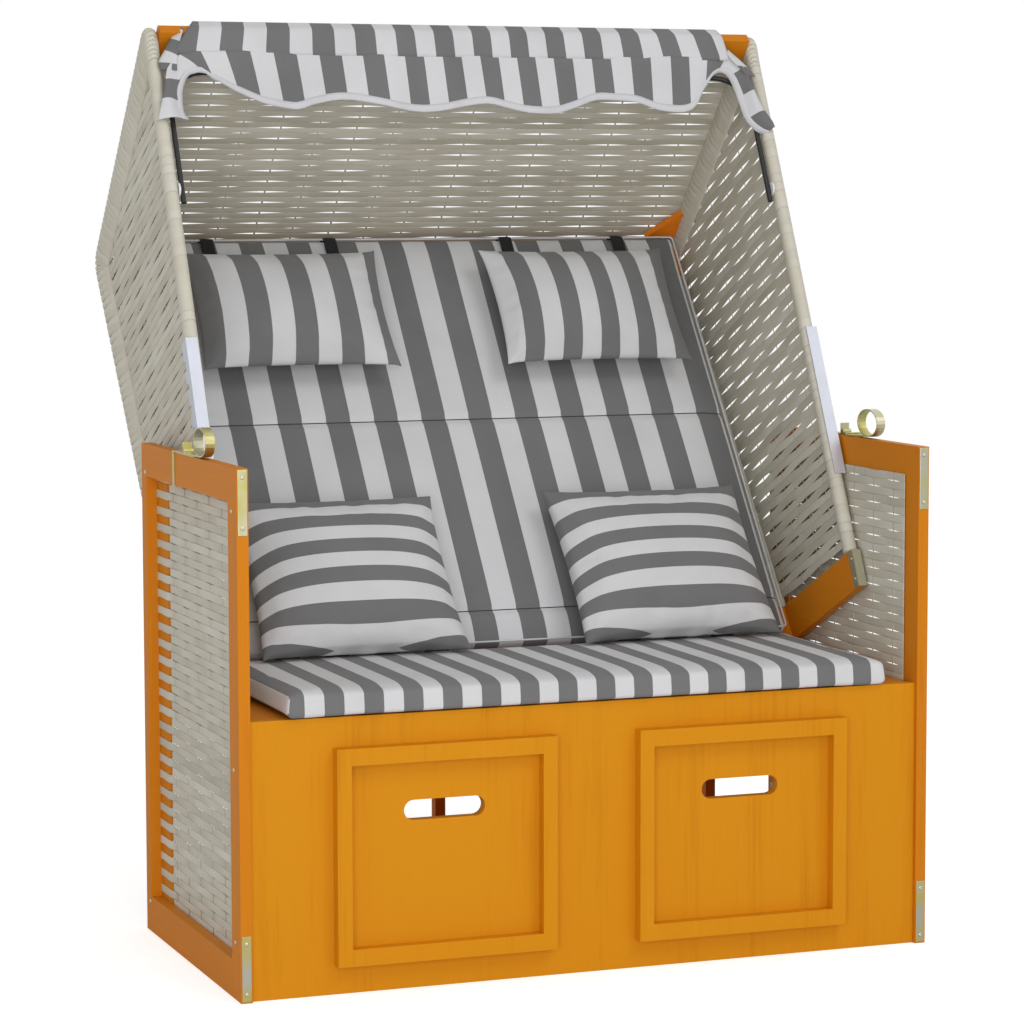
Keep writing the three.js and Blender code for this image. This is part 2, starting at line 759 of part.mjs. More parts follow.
// The angle strip on a side's front edge, with the notches that a latch can hold it by.
function latchRack(side) {
  const inner = hoodOuter + fitGap;
  const front = -hoodFrontReach - fitGap;
  const height = [rackStart, rackStart + rackLength];
  const outer = inner + rackThick;
  const leg = board(onSide(side, inner, outer), [front - rackThick, front + rackWidth], height);
  const flange = board(onSide(side, inner - rackFlange, outer), [front - rackThick, front], height);
  const notches = [];
  const firstNotch = rackStart + (rackLength - (rackNotchCount - 1) * rackNotchPitch) / 2;
  for (let i = 0; i < rackNotchCount; i += 1) {
    const middle = firstNotch + i * rackNotchPitch;
    notches.push(board(
      onSide(side, inner - cutOverrun, outer + cutOverrun),
      [front + rackWidth - rackNotchDepth, front + rackWidth + cutOverrun],
      [middle - rackNotchHeight / 2, middle + rackNotchHeight / 2],
    ));
  }
  return piece(sideName(side, 'latch_rack'), cut(joined(leg, flange), ...notches), 'zinc');
}

// Awning

// The white boss on a side's inner face that an arm of the bail turns on.
function awningClip(side) {
  const x = onSide(side, bailHalfWidth + bailRadius + fitGap, betweenSides);
  const boss = pin(clipRadius, x, -hoodFrontReach + bailSetback, bailPivotHeight);
  return piece(sideName(side, 'awning_clip'), boss, 'plastic');
}

// A round bar swept along a flat route in width and height, at one depth.
function flatRod(route, radius, depth) {
  const rings = route.map((point, i) => {
    const before = route[Math.max(i - 1, 0)];
    const after = route[Math.min(i + 1, route.length - 1)];
    const along = after.clone().sub(before).normalize();
    return { point, sideways: new THREE.Vector2(-along.y, along.x) };
  });
  const positions = [];
  for (const { point, sideways } of rings) {
    for (let k = 0; k < rodSides; k += 1) {
      const angle = (2 * Math.PI * k) / rodSides;
      const out = radius * Math.cos(angle);
      const place = sideways.clone().multiplyScalar(out).add(point);
      positions.push(place.x, depth + radius * Math.sin(angle), place.y);
    }
  }
  const triangles = [];
  const last = (rings.length - 1) * rodSides;
  for (let ring = 0; ring < last; ring += rodSides) {
    for (let k = 0; k < rodSides; k += 1) {
      const next = (k + 1) % rodSides;
      triangles.push(ring + k, ring + next, ring + rodSides + next);
      triangles.push(ring + k, ring + rodSides + next, ring + rodSides + k);
    }
  }
  for (let k = 1; k < rodSides - 1; k += 1) {
    triangles.push(0, k + 1, k);
    triangles.push(last, last + k, last + k + 1);
  }
  const geometry = new THREE.BufferGeometry();
  geometry.setAttribute('position', new THREE.Float32BufferAttribute(positions, 3));
  geometry.setIndex(triangles);
  return turnedOut(geometry);
}

// The bail: two arms and a cross bar, bent from one rod.
function awningBail() {
  const low = bailPivotHeight - bailTail;
  const corner = bailTopHeight - bailCorner;
  const route = [new THREE.Vector2(bailHalfWidth, low)];
  for (const [side, start] of [[1, 0], [-1, Math.PI / 2]]) {
    const middle = new THREE.Vector2(side * (bailHalfWidth - bailCorner), corner);
    for (let step = 0; step <= arcSteps; step += 1) {
      const angle = start + (Math.PI * step) / (2 * arcSteps);
      const out = new THREE.Vector2(Math.cos(angle), Math.sin(angle));
      route.push(out.multiplyScalar(bailCorner).add(middle));
    }
  }
  route.push(new THREE.Vector2(-bailHalfWidth, low));
  return piece('awning_bail', flatRod(route, bailRadius, -hoodFrontReach + bailSetback), 'blackSteel');
}

// The way that loose cloth hangs inside the tilted hood.
const plumb = new THREE.Vector2(Math.sin(hoodTilt), -Math.cos(hoodTilt));

// A sheet of cloth along a route in depth and height, with a fold at each place.
function clothSheet(route, rows, columns, fold) {
  const curve = new THREE.SplineCurve(route);
  const us = Array.from({ length: columns + 1 }, (_, i) => (2 * i) / columns - 1);
  const vs = Array.from({ length: rows + 1 }, (_, i) => i / rows);
  const surface = (offset) => (u, v) => {
    const x = u * clothHalfWidth;
    const { length, bulge } = fold(x, v);
    const spot = curve.getPoint(Math.min(length, 1));
    const along = curve.getTangent(Math.min(length, 1));
    const out = offset + bulge;
    return [x, spot.x + along.y * out, spot.y - along.x * out];
  };
  return shell(us, vs, surface(clothThick / 2), surface(-clothThick / 2));
}

// Where the cloth leaves the front beam.
const clothEdge = new THREE.Vector2(...onRoof(-clothFrontClear, roofDrop + beamThick));

// The cloth from the top of the roof over the front beam, down to the seam.
function awningCloth() {
  const lift = roofDrop - roofThick - fitGap - clothThick / 2;
  const route = [
    new THREE.Vector2(...onRoof(clothRoofReach, lift)),
    new THREE.Vector2(...onRoof(clothRoofReach / 2, lift)),
    new THREE.Vector2(...onRoof(0, lift)),
    new THREE.Vector2(...onRoof(-clothFrontClear, roofDrop)),
    clothEdge,
    clothEdge.clone().addScaledVector(plumb, clothDrop),
  ];
  const sheet = clothSheet(route, 3 * arcSteps, 2 * arcSteps, (x, v) => ({ length: v, bulge: 0 }));
  return piece('awning_cloth', sheet, 'fabric');
}

// The valance that hangs in front of the bail, waved along its scalloped hem.
function awningValance() {
  const start = clothEdge.clone().addScaledVector(plumb, clothDrop + clothSeamGap);
  const barDepth = -hoodFrontReach + bailSetback - bailRadius - softGap - clothThick / 2;
  const atBar = new THREE.Vector2(barDepth, bailTopHeight - valanceBarPass);
  const longest = valanceLength + valanceScallop;
  const rest = longest - start.distanceTo(atBar);
  const route = [
    start,
    atBar,
    atBar.clone().addScaledVector(plumb, rest / 2),
    atBar.clone().addScaledVector(plumb, rest),
  ];
  const columns = 11 * arcSteps;
  const fold = (x, v) => {
    const phase = (2 * Math.PI * (x - valanceLow)) / valancePitch;
    const length = (v * (valanceLength + valanceScallop * Math.cos(phase))) / longest;
    const below = Math.max(0, v - start.distanceTo(atBar) / longest);
    return { length, bulge: -valanceFold * below * (1 + Math.sin(phase)) };
  };
  const sheet = clothSheet(route, arcSteps, columns, fold);
  return piece('awning_valance', sheet, 'fabric');
}

// Cushions

// Stations along a pad: close together over each round edge and beside each seam.
function padStations(length, seams, parts) {
  const roundShares = [0, 1, 2, 3].map((step) => 1 - Math.cos((step * Math.PI) / 6));
  const stops = [padEdge];
  for (const seam of seams) {
    stops.push(seam - seamWidth / 2, seam, seam + seamWidth / 2);
  }
  stops.push(length - padEdge);
  const between = stops.slice(1).flatMap((stop, i) => {
    const start = stops[i];
    const count = stop - start > seamWidth ? parts : 2;
    return Array.from({ length: count }, (_, k) => start + ((stop - start) * (k + 1)) / count);
  });
  const head = roundShares.map((share) => padEdge * share);
  const tail = roundShares.slice(0, -1).reverse().map((share) => length - padEdge * share);
  return [...head, ...between, ...tail];
}

// A flat pad with round upper edges, drawn-in sides, a crown and sewn seams across it.
function pad(width, length, thick, seams) {
  const drop = (distance) => {
    const inside = Math.min(Math.max(distance, 0), padEdge);
    return padEdge - Math.sqrt(padEdge ** 2 - (padEdge - inside) ** 2);
  };
  const bounds = [0, ...seams, length];
  const crownAt = (y) => {
    const i = Math.min(bounds.filter((bound) => bound <= y).length, bounds.length - 1);
    const middle = (bounds[i] + bounds[i - 1]) / 2;
    const half = (bounds[i] - bounds[i - 1]) / 2;
    return 1 - ((y - middle) / half) ** 2;
  };
  const groove = (y) => Math.max(0, ...seams.map((seam) => 1 - Math.abs(y - seam) / (seamWidth / 2))) ** 2;
  const place = (x, y) => {
    const u = (2 * x) / width - 1;
    const v = (2 * y) / length - 1;
    const inX = 1 - ((2 * padDrawIn) / width) * (1 - v * v);
    const inY = 1 - ((2 * padDrawIn) / length) * (1 - u * u);
    return [(u * width * inX) / 2, ((1 + v * inY) * length) / 2];
  };
  const top = (x, y) => {
    const u = (2 * x) / width - 1;
    const rise = thick - padCrown * (1 - (1 - u ** 4) * crownAt(y)) - seamDepth * groove(y);
    return [...place(x, y), rise - drop(Math.min(x, width - x)) - drop(Math.min(y, length - y))];
  };
  const xs = padStations(width, [], arcSteps + 2);
  const ys = padStations(length, seams, arcSteps);
  return shell(xs, ys, top, (x, y) => [...place(x, y), 0]);
}

// A scatter pillow: its sides draw in between the corners, and both faces swell.
function pillow(width, height, thick) {
  const stations = (count) => Array.from(
    { length: count + 1 },
    (_, i) => Math.sin((Math.PI / 2) * ((2 * i) / count - 1)),
  );
  const face = (turn) => (u, v) => {
    const swell = Math.cos((Math.PI * u) / 2) * Math.cos((Math.PI * v) / 2);
    return [
      ((u * width) / 2) * (1 - pillowDrawInShare * (1 - v * v)),
      ((turn * thick) / 2) * Math.max(swell, 0) ** (pillowFullness / 2),
      ((v * height) / 2) * (1 - pillowDrawInShare * (1 - u * u)),
    ];
  };
  return shell(stations(2 * arcSteps), stations(2 * arcSteps), face(-1), face(1));
}

// Assembly

const chair = new THREE.Group();
const base = new THREE.Group();
const hood = new THREE.Group();
hood.position.set(0, pivotDepth, pivotHeight);
hood.rotation.x = -hoodTilt;
const back = new THREE.Group();
back.position.set(0, backPadStartDepth, backPadStartHeight);
back.rotation.x = -backPadLean;
hood.add(back);
chair.add(base, hood);

const seatPad = pad(seatPadWidth, seatPadDepth, seatPadThick, []);
const seatCushion = piece('seat_cushion', seatPad, 'fabric');
seatCushion.position.set(0, seatPadFront, seatHeight + fitGap);
base.add(frontPanel(), ...underframe(), seatCushion);
hood.add(...hoodCross(), hoodFootBeam(), awningCloth(), awningBail(), awningValance());

const backPad = pad(backPadWidth, backPadLength, backPadThick, backPadSeams);
backPad.applyMatrix4(upright);
const backCushion = piece('back_cushion', backPad, 'fabric');
backCushion.position.y = backPadThick;
const supportTop = backPadLength + supportRise;
const support = board(
  [-betweenSides, betweenSides],
  [backPadThick + softGap, backPadThick + softGap + supportThick],
  [supportTop - supportHeight, supportTop],
);
back.add(backCushion, piece('back_support_rail', support, 'sideWood'));

for (const side of [-1, 1]) {
  base.add(...baseSide(side), pivotPlate(side), latchBracket(side), latchLever(side));
  base.add(footrestFront(side), ...footrestBench(side));
  hood.add(hoodSide(side), hoodRail(side), gusset(side), latchRack(side), awningClip(side));

  const head = piece(sideName(side, 'head_pillow'), pillow(headWidth, headHeight, headThick), 'fabric');
  head.position.set(side * headCentre, -headThick / 2 - fitGap, headRise);
  back.add(head);

  const lumbarForm = pillow(lumbarWidth, lumbarHeight, lumbarThick);
  const lumbar = piece(sideName(side, 'lumbar_pillow'), lumbarForm, 'fabric');
  lumbar.position.z = lumbarHeight / 2;
  const seat = new THREE.Group();
  seat.position.set(side * lumbarCentre, lumbarDepth, seatTop - lumbarSink + softGap);
  seat.rotation.x = -hoodTilt - backPadLean;
  seat.add(lumbar);
  base.add(seat);
}

// The origin lies on the floor under the middle of the whole chair.
chair.updateMatrixWorld(true);
const extent = new THREE.Box3().setFromObject(chair, true);
chair.position.y = -(extent.min.y + extent.max.y) / 2;

export default chair;
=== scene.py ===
"""Looks of a hooded beach chair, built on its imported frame. Metres, +Z up, the front faces -Y."""
import math
import bmesh
import bpy
import numpy as np
from mathutils import Matrix, Vector


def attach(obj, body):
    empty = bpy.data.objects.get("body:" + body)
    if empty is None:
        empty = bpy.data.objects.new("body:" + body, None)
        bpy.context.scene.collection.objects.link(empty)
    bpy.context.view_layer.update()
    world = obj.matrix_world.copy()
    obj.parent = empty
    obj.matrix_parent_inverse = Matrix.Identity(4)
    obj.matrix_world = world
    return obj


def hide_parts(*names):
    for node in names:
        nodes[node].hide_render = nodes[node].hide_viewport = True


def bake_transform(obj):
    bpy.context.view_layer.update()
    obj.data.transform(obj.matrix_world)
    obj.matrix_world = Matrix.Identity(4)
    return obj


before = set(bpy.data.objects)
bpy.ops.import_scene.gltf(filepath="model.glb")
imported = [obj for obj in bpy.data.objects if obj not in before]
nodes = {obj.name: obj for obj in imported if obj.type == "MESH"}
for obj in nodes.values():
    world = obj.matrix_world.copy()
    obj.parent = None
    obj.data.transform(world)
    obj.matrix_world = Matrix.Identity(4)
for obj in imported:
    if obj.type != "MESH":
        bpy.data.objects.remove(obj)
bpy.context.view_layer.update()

# The hood's pivot and lean, and the back cushion's place in the hood
PIVOT = np.array([0.0, -0.04455, 0.4815])
TILT = math.radians(25.8)
LEAN = math.radians(11.43)
BACK_START = (-0.0642, -0.025)
FRONT_TOP = np.array([-0.297, 1.031])
BACK_TOP = np.array([0.2336, 0.824])
FOOT = np.array([0.029, -0.033])
ROOF_ALONG = (BACK_TOP - FRONT_TOP) / np.linalg.norm(BACK_TOP - FRONT_TOP)
ROOF_IN = np.array([ROOF_ALONG[1], -ROOF_ALONG[0]])
BACK_ALONG = (BACK_TOP - FOOT) / np.linalg.norm(BACK_TOP - FOOT)
BACK_IN = np.array([-BACK_ALONG[1], BACK_ALONG[0]])
SIDE_INNER, SIDE_OUTER, SIDE_MIDDLE = 0.541, 0.5635, 0.55225
SIDES = ((-1, "left"), (1, "right"))
# The foot rail's top, and the slopes and widths of the wrapped bands along roof and back
RAIL_TOP = 0.0333
ROOF_SLOPE, ROOF_BAND = 0.39012, 0.0644
BACK_SLOPE, BACK_BAND = 0.23874, 0.0432


def hood(x, y, z):
    """Across, depth and height about the pivot, on the upright hood, to the frame at rest."""
    x, y, z = np.broadcast_arrays(x, y, z)
    c, s = math.cos(TILT), math.sin(TILT)
    return np.stack([x, PIVOT[1] + c * y + s * z, PIVOT[2] - s * y + c * z], -1)


def roof(x, along, inward):
    """Across, along the roof line from the front, and down below it, to the frame."""
    y = FRONT_TOP[0] + ROOF_ALONG[0] * along + ROOF_IN[0] * inward
    z = FRONT_TOP[1] + ROOF_ALONG[1] * along + ROOF_IN[1] * inward
    return hood(x, y, z)


def rear(x, along, inward):
    """Across, up the hood's back line from its foot, and in from it, to the frame."""
    y = FOOT[0] + BACK_ALONG[0] * along + BACK_IN[0] * inward
    z = FOOT[1] + BACK_ALONG[1] * along + BACK_IN[1] * inward
    return hood(x, y, z)


def back(x, up, out):
    """Across, up the back cushion's face, and out from that face, to the frame."""
    c, s = math.cos(LEAN), math.sin(LEAN)
    return hood(x, BACK_START[0] + s * up - c * out, BACK_START[1] + c * up + s * out)


# Camera

def place_camera():
    """The camera fitted to the photograph: its axes, its place, its focal length and its shift."""
    data = bpy.data.cameras.new("camera")
    camera = bpy.data.objects.new("camera", data)
    bpy.context.scene.collection.objects.link(camera)
    right = Vector((0.93521911, -0.35406374, -0.0020202))
    up = Vector((0.03480892, 0.08626278, 0.99566414))
    ahead = Vector((0.3523543, 0.93123445, -0.09299917))
    turn = Matrix((right, up, -ahead)).transposed().to_4x4()
    camera.matrix_world = Matrix.Translation((-1.986456, -5.406184, 1.24858)) @ turn
    data.sensor_width = 36
    data.lens = 118.078
    data.shift_x = -0.007771
    data.shift_y = -0.007723
    bpy.context.scene.camera = camera


# Materials

def linear(red, green, blue):
    """An sRGB colour of 0 to 255 as linear values with full alpha."""
    levels = [((v / 255 + 0.055) / 1.055) ** 2.4 if v > 10 else v / 3294.6 for v in (red, green, blue)]
    return (*levels, 1)


class Look:
    """A node material under construction, with its shader's sockets at hand."""

    def __init__(self, name, **values):
        self.material = bpy.data.materials.new(name)
        self.material.use_nodes = True
        self.tree = self.material.node_tree
        self.shader = self.tree.nodes["Principled BSDF"]
        for socket, value in values.items():
            self.shader.inputs[socket.replace("_", " ")].default_value = value

    def node(self, kind, inputs=None, **settings):
        """A shader node with its settings, its inputs linked to sockets or set to values."""
        made = self.tree.nodes.new("ShaderNode" + kind)
        for key, value in settings.items():
            setattr(made, key, value)
        for key, value in (inputs or {}).items():
            if isinstance(value, bpy.types.NodeSocket):
                self.tree.links.new(value, made.inputs[key])
            else:
                made.inputs[key].default_value = value
        return made

    def sum(self, kind, a, b=0.5, clamp=False):
        """The outcome of one operation on two values, or on the first alone."""
        return self.node("Math", {0: a, 1: b}, operation=kind, use_clamp=clamp).outputs[0]

    def place(self, scale, shift=(0, 0, 0)):
        """Object coordinates, scaled and shifted."""
        coordinates = self.node("TexCoord").outputs["Object"]
        return self.node("Mapping", {"Vector": coordinates, "Scale": scale, "Location": shift}).outputs[0]

    def noise(self, where, scale, detail, rough=0.5):
        """Cloudy noise of 0 to 1."""
        inputs = {"Vector": where, "Scale": scale, "Detail": detail, "Roughness": rough}
        return self.node("TexNoise", inputs).outputs["Fac"]

    def ramp(self, factor, stops):
        """Colours that follow a value, from stops of position and colour."""
        made = self.node("ValToRGB", {"Fac": factor})
        elements = made.color_ramp.elements
        while len(elements) < len(stops):
            elements.new(0.5)
        for element, (position, colour) in zip(elements, stops):
            element.position = position
            element.color = colour
        return made.outputs["Color"]

    def mix(self, factor, a, b):
        """Colour a where the factor is 0 and b where it is 1."""
        made = self.node("Mix", data_type="RGBA", blend_type="MIX")
        for index, value in ((0, factor), (6, a), (7, b)):
            if isinstance(value, bpy.types.NodeSocket):
                self.tree.links.new(value, made.inputs[index])
            else:
                made.inputs[index].default_value = value
        return made.outputs[2]

    def attribute(self, name):
        """A value that the mesh carries under this name."""
        return self.node("Attribute", attribute_name=name).outputs["Fac"]

    def finish(self, colour=None, rough=None, height=None, depth=0.0005, strength=1.0):
        """The material, with its colour, roughness and fine relief linked where they are given."""
        links = self.tree.links
        if colour is not None:
            links.new(colour, self.shader.inputs["Base Color"])
        if rough is not None:
            links.new(rough, self.shader.inputs["Roughness"])
        if height is not None:
            bump = self.node("Bump", {"Height": height, "Strength": strength, "Distance": depth})
            links.new(bump.outputs[0], self.shader.inputs["Normal"])
        return self.material


def wood(name, grain, deep, middle, pale, shift):
    """Oiled softwood: long fine streaks and slow bands that run along one axis of the board."""
    look = Look(name, Specular_IOR_Level=0.12)
    across = [1.0, 1.0, 1.0]
    across[grain] = 0.035
    where = look.place(tuple(across), shift)
    streak = look.noise(where, 150, 4, 0.62)
    band = look.noise(where, 24, 3, 0.55)
    cloud = look.noise(look.place((1, 1, 1), shift), 5.5, 2)
    tone = look.sum("ADD", look.sum("MULTIPLY", streak, 0.42), look.sum("MULTIPLY", band, 0.38))
    tone = look.sum("ADD", tone, look.sum("MULTIPLY", cloud, 0.2))
    colour = look.ramp(tone, [(0.34, deep), (0.46, middle), (0.56, middle), (0.68, pale)])
    rough = look.sum("ADD", look.sum("MULTIPLY", streak, 0.16), 0.42)
    return look.finish(colour, rough, streak, 0.0003, 0.25)


def wicker(name):
    """Moulded flat strip: a soft sheen, a fine grain, a tone for each strip with painted light where it
    stands out, and painted shade in the grooves between wraps.
    """
    look = Look(name, Specular_IOR_Level=0.3)
    tone = look.attribute("tone")
    cloud = look.noise(look.place((1, 1, 1)), 14, 3)
    fine = look.noise(look.place((1, 1, 1)), 420, 2)
    value = look.sum("ADD", look.sum("MULTIPLY", tone, 0.7), look.sum("MULTIPLY", cloud, 0.3))
    colour = look.ramp(value, [
        (0.15, linear(180, 175, 158)), (0.5, linear(198, 193, 177)), (0.85, linear(211, 207, 194)),
    ])
    # Painted shade: the seam attribute darkens the grooves between wraps towards this dark colour, where
    # shade falls.
    seam = look.sum("MULTIPLY", look.sum("POWER", look.attribute("seam"), 1.6), 0.9, clamp=True)
    colour = look.mix(seam, colour, linear(58, 50, 42))
    rough = look.sum("ADD", look.sum("MULTIPLY", fine, 0.15), 0.45)
    return look.finish(colour, rough, look.sum("ADD", fine, cloud), 0.0003, 0.25)


def fabric(name, seams=()):
    """Striped canvas: two greys told apart by the stripe attribute, with the cloth's fine weave and painted
    shade along the given seams.
    """
    look = Look(name, Specular_IOR_Level=0.15, Sheen_Weight=0.12, Sheen_Roughness=0.6)
    phase = look.sum("FRACT", look.attribute("stripe"))
    light = look.sum("GREATER_THAN", phase, 0.5)
    light = look.sum("MAXIMUM", light, look.attribute("plain"))
    cloud = look.noise(look.place((1, 1, 1)), 9, 4)
    fleck = look.noise(look.place((1, 1, 1)), 900, 2)
    tone = look.sum("ADD", look.sum("MULTIPLY", cloud, 0.5), look.sum("MULTIPLY", fleck, 0.5))
    dark = look.ramp(tone, [(0.3, linear(104, 104, 105)), (0.7, linear(118, 118, 119))])
    pale = look.ramp(tone, [(0.3, linear(198, 198, 200)), (0.7, linear(213, 213, 215))])
    colour = look.mix(light, dark, pale)
    up = look.attribute("up") if seams else None
    # Painted shade: a dark line along each seam, where the cloth creases into the groove.
    for seam in seams:
        away = look.sum("ABSOLUTE", look.sum("SUBTRACT", up, seam))
        line = look.sum("LESS_THAN", away, 0.0011)
        colour = look.mix(line, colour, linear(52, 52, 54))
    warp = look.node("TexWave", {"Vector": look.place((1, 0.7, 0.7)), "Scale": 190.0, "Distortion": 0.6})
    weft = look.node("TexWave", {"Vector": look.place((1, 1, 1)), "Scale": 190.0, "Distortion": 0.6},
                     bands_direction="Z")
    weave = look.sum("ADD", look.sum("MULTIPLY", warp.outputs["Fac"], weft.outputs["Fac"]), fleck)
    rough = look.sum("ADD", look.sum("MULTIPLY", fleck, 0.1), 0.86)
    return look.finish(colour, rough, weave, 0.00025, 0.35)


def zinc(name, tint):
    """Bright zinc with its thin yellow passivated film, which turns silvery in patches."""
    look = Look(name, Metallic=1.0)
    patch = look.noise(look.place((1, 1, 0.6)), 11, 3, 0.6)
    fine = look.noise(look.place((1, 1, 1)), 240, 2)
    colour = look.ramp(patch, [
        (0.34, linear(184, 185, 176)), (0.5, tint), (0.66, linear(200, 197, 172)),
    ])
    rough = look.sum("ADD", look.sum("MULTIPLY", fine, 0.2), 0.3)
    return look.finish(colour, rough, fine, 0.0002, 0.2)


def coated(name, colour, rough, metal=0.0):
    """A smooth painted or moulded finish with a faint orange-peel texture."""
    look = Look(name, Metallic=metal)
    fine = look.noise(look.place((1, 1, 1)), 260, 2)
    cloud = look.noise(look.place((1, 1, 1)), 20, 2)
    tone = look.ramp(cloud, [(0.3, tuple(0.92 * v for v in colour[:3]) + (1,)), (0.7, colour)])
    return look.finish(tone, look.sum("ADD", look.sum("MULTIPLY", fine, 0.12), rough), fine, 0.0002, 0.2)


FRONT_TONES = (linear(201, 128, 12), linear(211, 138, 16), linear(215, 144, 22))
SIDE_TONES = (linear(194, 112, 13), linear(206, 124, 19), linear(214, 134, 27))
# Painted shade and bounce light: a redder copy of the wood for the footrest frames and hood gussets, for
# the deep orange that their narrow faces and slots take on in shade.
REVEAL_SHADE_TONES = (linear(222, 116, 20), linear(232, 128, 28), linear(238, 138, 36))
# Heights of the back cushion's cross seams over its lower edge
BACK_SEAMS = (0.065, 0.455)
looks = {
    "front_wood": wood("front_wood", 2, *FRONT_TONES, (0.3, 0.1, 0)),
    "wood_x": wood("side_wood_across", 0, *SIDE_TONES, (0, 0.4, 0.2)),
    "wood_y": wood("side_wood_along", 1, *SIDE_TONES, (0.7, 0, 0.1)),
    "wood_z": wood("side_wood_upright", 2, *SIDE_TONES, (0.5, 0.2, 0)),
    "reveal_wood_painted_shade": wood("footrest_wood_painted_shade", 1, *REVEAL_SHADE_TONES, (0.1, 0, 0.6)),
    "wicker": wicker("wicker"),
    "fabric": fabric("striped_canvas"),
    "back_fabric": fabric("striped_canvas_quilted", BACK_SEAMS),
    "piping": coated("piping", linear(204, 204, 207), 0.75),
    "zinc": zinc("zinc", linear(192, 183, 112)),
    "screw": zinc("screw_zinc", linear(200, 198, 172)),
    "rack": coated("rack_zinc", linear(196, 199, 208), 0.45, 0.6),
    "black": coated("black_coating", linear(26, 26, 27), 0.4),
    "strap": coated("black_webbing", linear(28, 28, 30), 0.85),
    "plastic": coated("white_plastic", linear(232, 232, 234), 0.35),
}


# Meshes

def mark(mesh, key, values, domain="POINT"):
    """A named value on each point or face, for the materials to read."""
    made = mesh.attributes.new(key, "FLOAT", domain)
    made.data.foreach_set("value", np.asarray(values, np.float32).ravel())


def read_points(mesh):
    """A mesh's points as rows of three."""
    flat = np.empty(len(mesh.vertices) * 3)
    mesh.vertices.foreach_get("co", flat)
    return flat.reshape(-1, 3)


def write_points(mesh, points):
    """Moves a mesh's points."""
    mesh.vertices.foreach_set("co", points.ravel())
    mesh.update()


def new_piece(name, vertices, faces, look, body, smooth=True, attributes=()):
    """An object from vertices and faces, outward, with its material, body and slot."""
    mesh = bpy.data.meshes.new(name)
    faces = faces.tolist() if isinstance(faces, np.ndarray) else faces
    mesh.from_pydata(np.asarray(vertices, float).reshape(-1, 3).tolist(), [], faces)
    for key, values in dict(attributes).items():
        mark(mesh, key, values)
    form = bmesh.new()
    form.from_mesh(mesh)
    bmesh.ops.recalc_face_normals(form, faces=form.faces)
    form.to_mesh(mesh)
    form.free()
    mesh.polygons.foreach_set("use_smooth", [smooth] * len(mesh.polygons))
    piece = bpy.data.objects.new(name, mesh)
    bpy.context.scene.collection.objects.link(piece)
    mesh.materials.append(looks[look])
    if body:
        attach(piece, body)
    return piece


def grid_faces(rows, columns, start=0, close=False):
    """Quads between rows of vertices. Each row can close on itself."""
    r, c = np.meshgrid(np.arange(rows - 1), np.arange(columns if close else columns - 1), indexing="ij")
    after = (c + 1) % columns
    quads = [r * columns + c, r * columns + after, (r + 1) * columns + after, (r + 1) * columns + c]
    return np.stack(quads, -1).reshape(-1, 4) + start


def bar_faces(rows, columns, start=0):
    """Faces of a closed bar: quads between its rings of points, and one face over each end."""
    last = start + (rows - 1) * columns
    ends = [list(range(start, start + columns)), list(range(last, last + columns))[::-1]]
    return grid_faces(rows, columns, start, close=True).tolist() + ends


def tube(points, radius, sides=8, closed=False, flat=1.0, wide=None):
    """A bar along points: at each point a ring square to the path, its second axis times flat."""
    points = np.asarray(points, float)
    ahead = np.roll(points, -1, 0) - np.roll(points, 1, 0)
    if not closed:
        ahead[0] = points[1] - points[0]
        ahead[-1] = points[-1] - points[-2]
    ahead /= np.linalg.norm(ahead, axis=1)[:, None]
    first = np.asarray(wide if wide is not None else (0.31, 0.47, 0.83), float)
    rings = []
    side = first
    for direction in ahead:
        side = side - direction * (side @ direction)
        side = side / np.linalg.norm(side)
        rings.append((side, np.cross(direction, side)))
    angle = (np.arange(sides) + 0.5) * 2 * math.pi / sides
    vertices = np.stack([
        point + radius * (np.cos(angle)[:, None] * a + flat * np.sin(angle)[:, None] * b)
        for point, (a, b) in zip(points, rings)
    ])
    if not closed:
        return vertices.reshape(-1, 3), bar_faces(len(points), sides)
    last = (len(points) - 1) * sides
    faces = grid_faces(len(points), sides, close=True).tolist()
    faces += [[last + k, last + (k + 1) % sides, (k + 1) % sides, k] for k in range(sides)]
    return vertices.reshape(-1, 3), faces


def gather(parts):
    """Several (vertices, faces) as one."""
    vertices, faces, start = [], [], 0
    for part_vertices, part_faces in parts:
        vertices.append(np.asarray(part_vertices, float).reshape(-1, 3))
        faces += [[index + start for index in face] for face in part_faces]
        start += len(vertices[-1])
    return np.concatenate(vertices), faces


def smooth_path(points, steps):
    """Catmull-Rom curve through points, with so many steps between two of them."""
    p = np.asarray(points, float)
    p = np.concatenate([[2 * p[0] - p[1]], p, [2 * p[-1] - p[-2]]])
    t = np.linspace(0, 1, steps, endpoint=False)[:, None]
    run = [
        0.5 * (2 * b + (c - a) * t + (2 * a - 5 * b + 4 * c - d) * t * t
               + (3 * b - a - 3 * c + d) * t ** 3)
        for a, b, c, d in zip(p, p[1:], p[2:], p[3:])
    ]
    return np.concatenate(run + [p[-2:-1]])


# Wicker

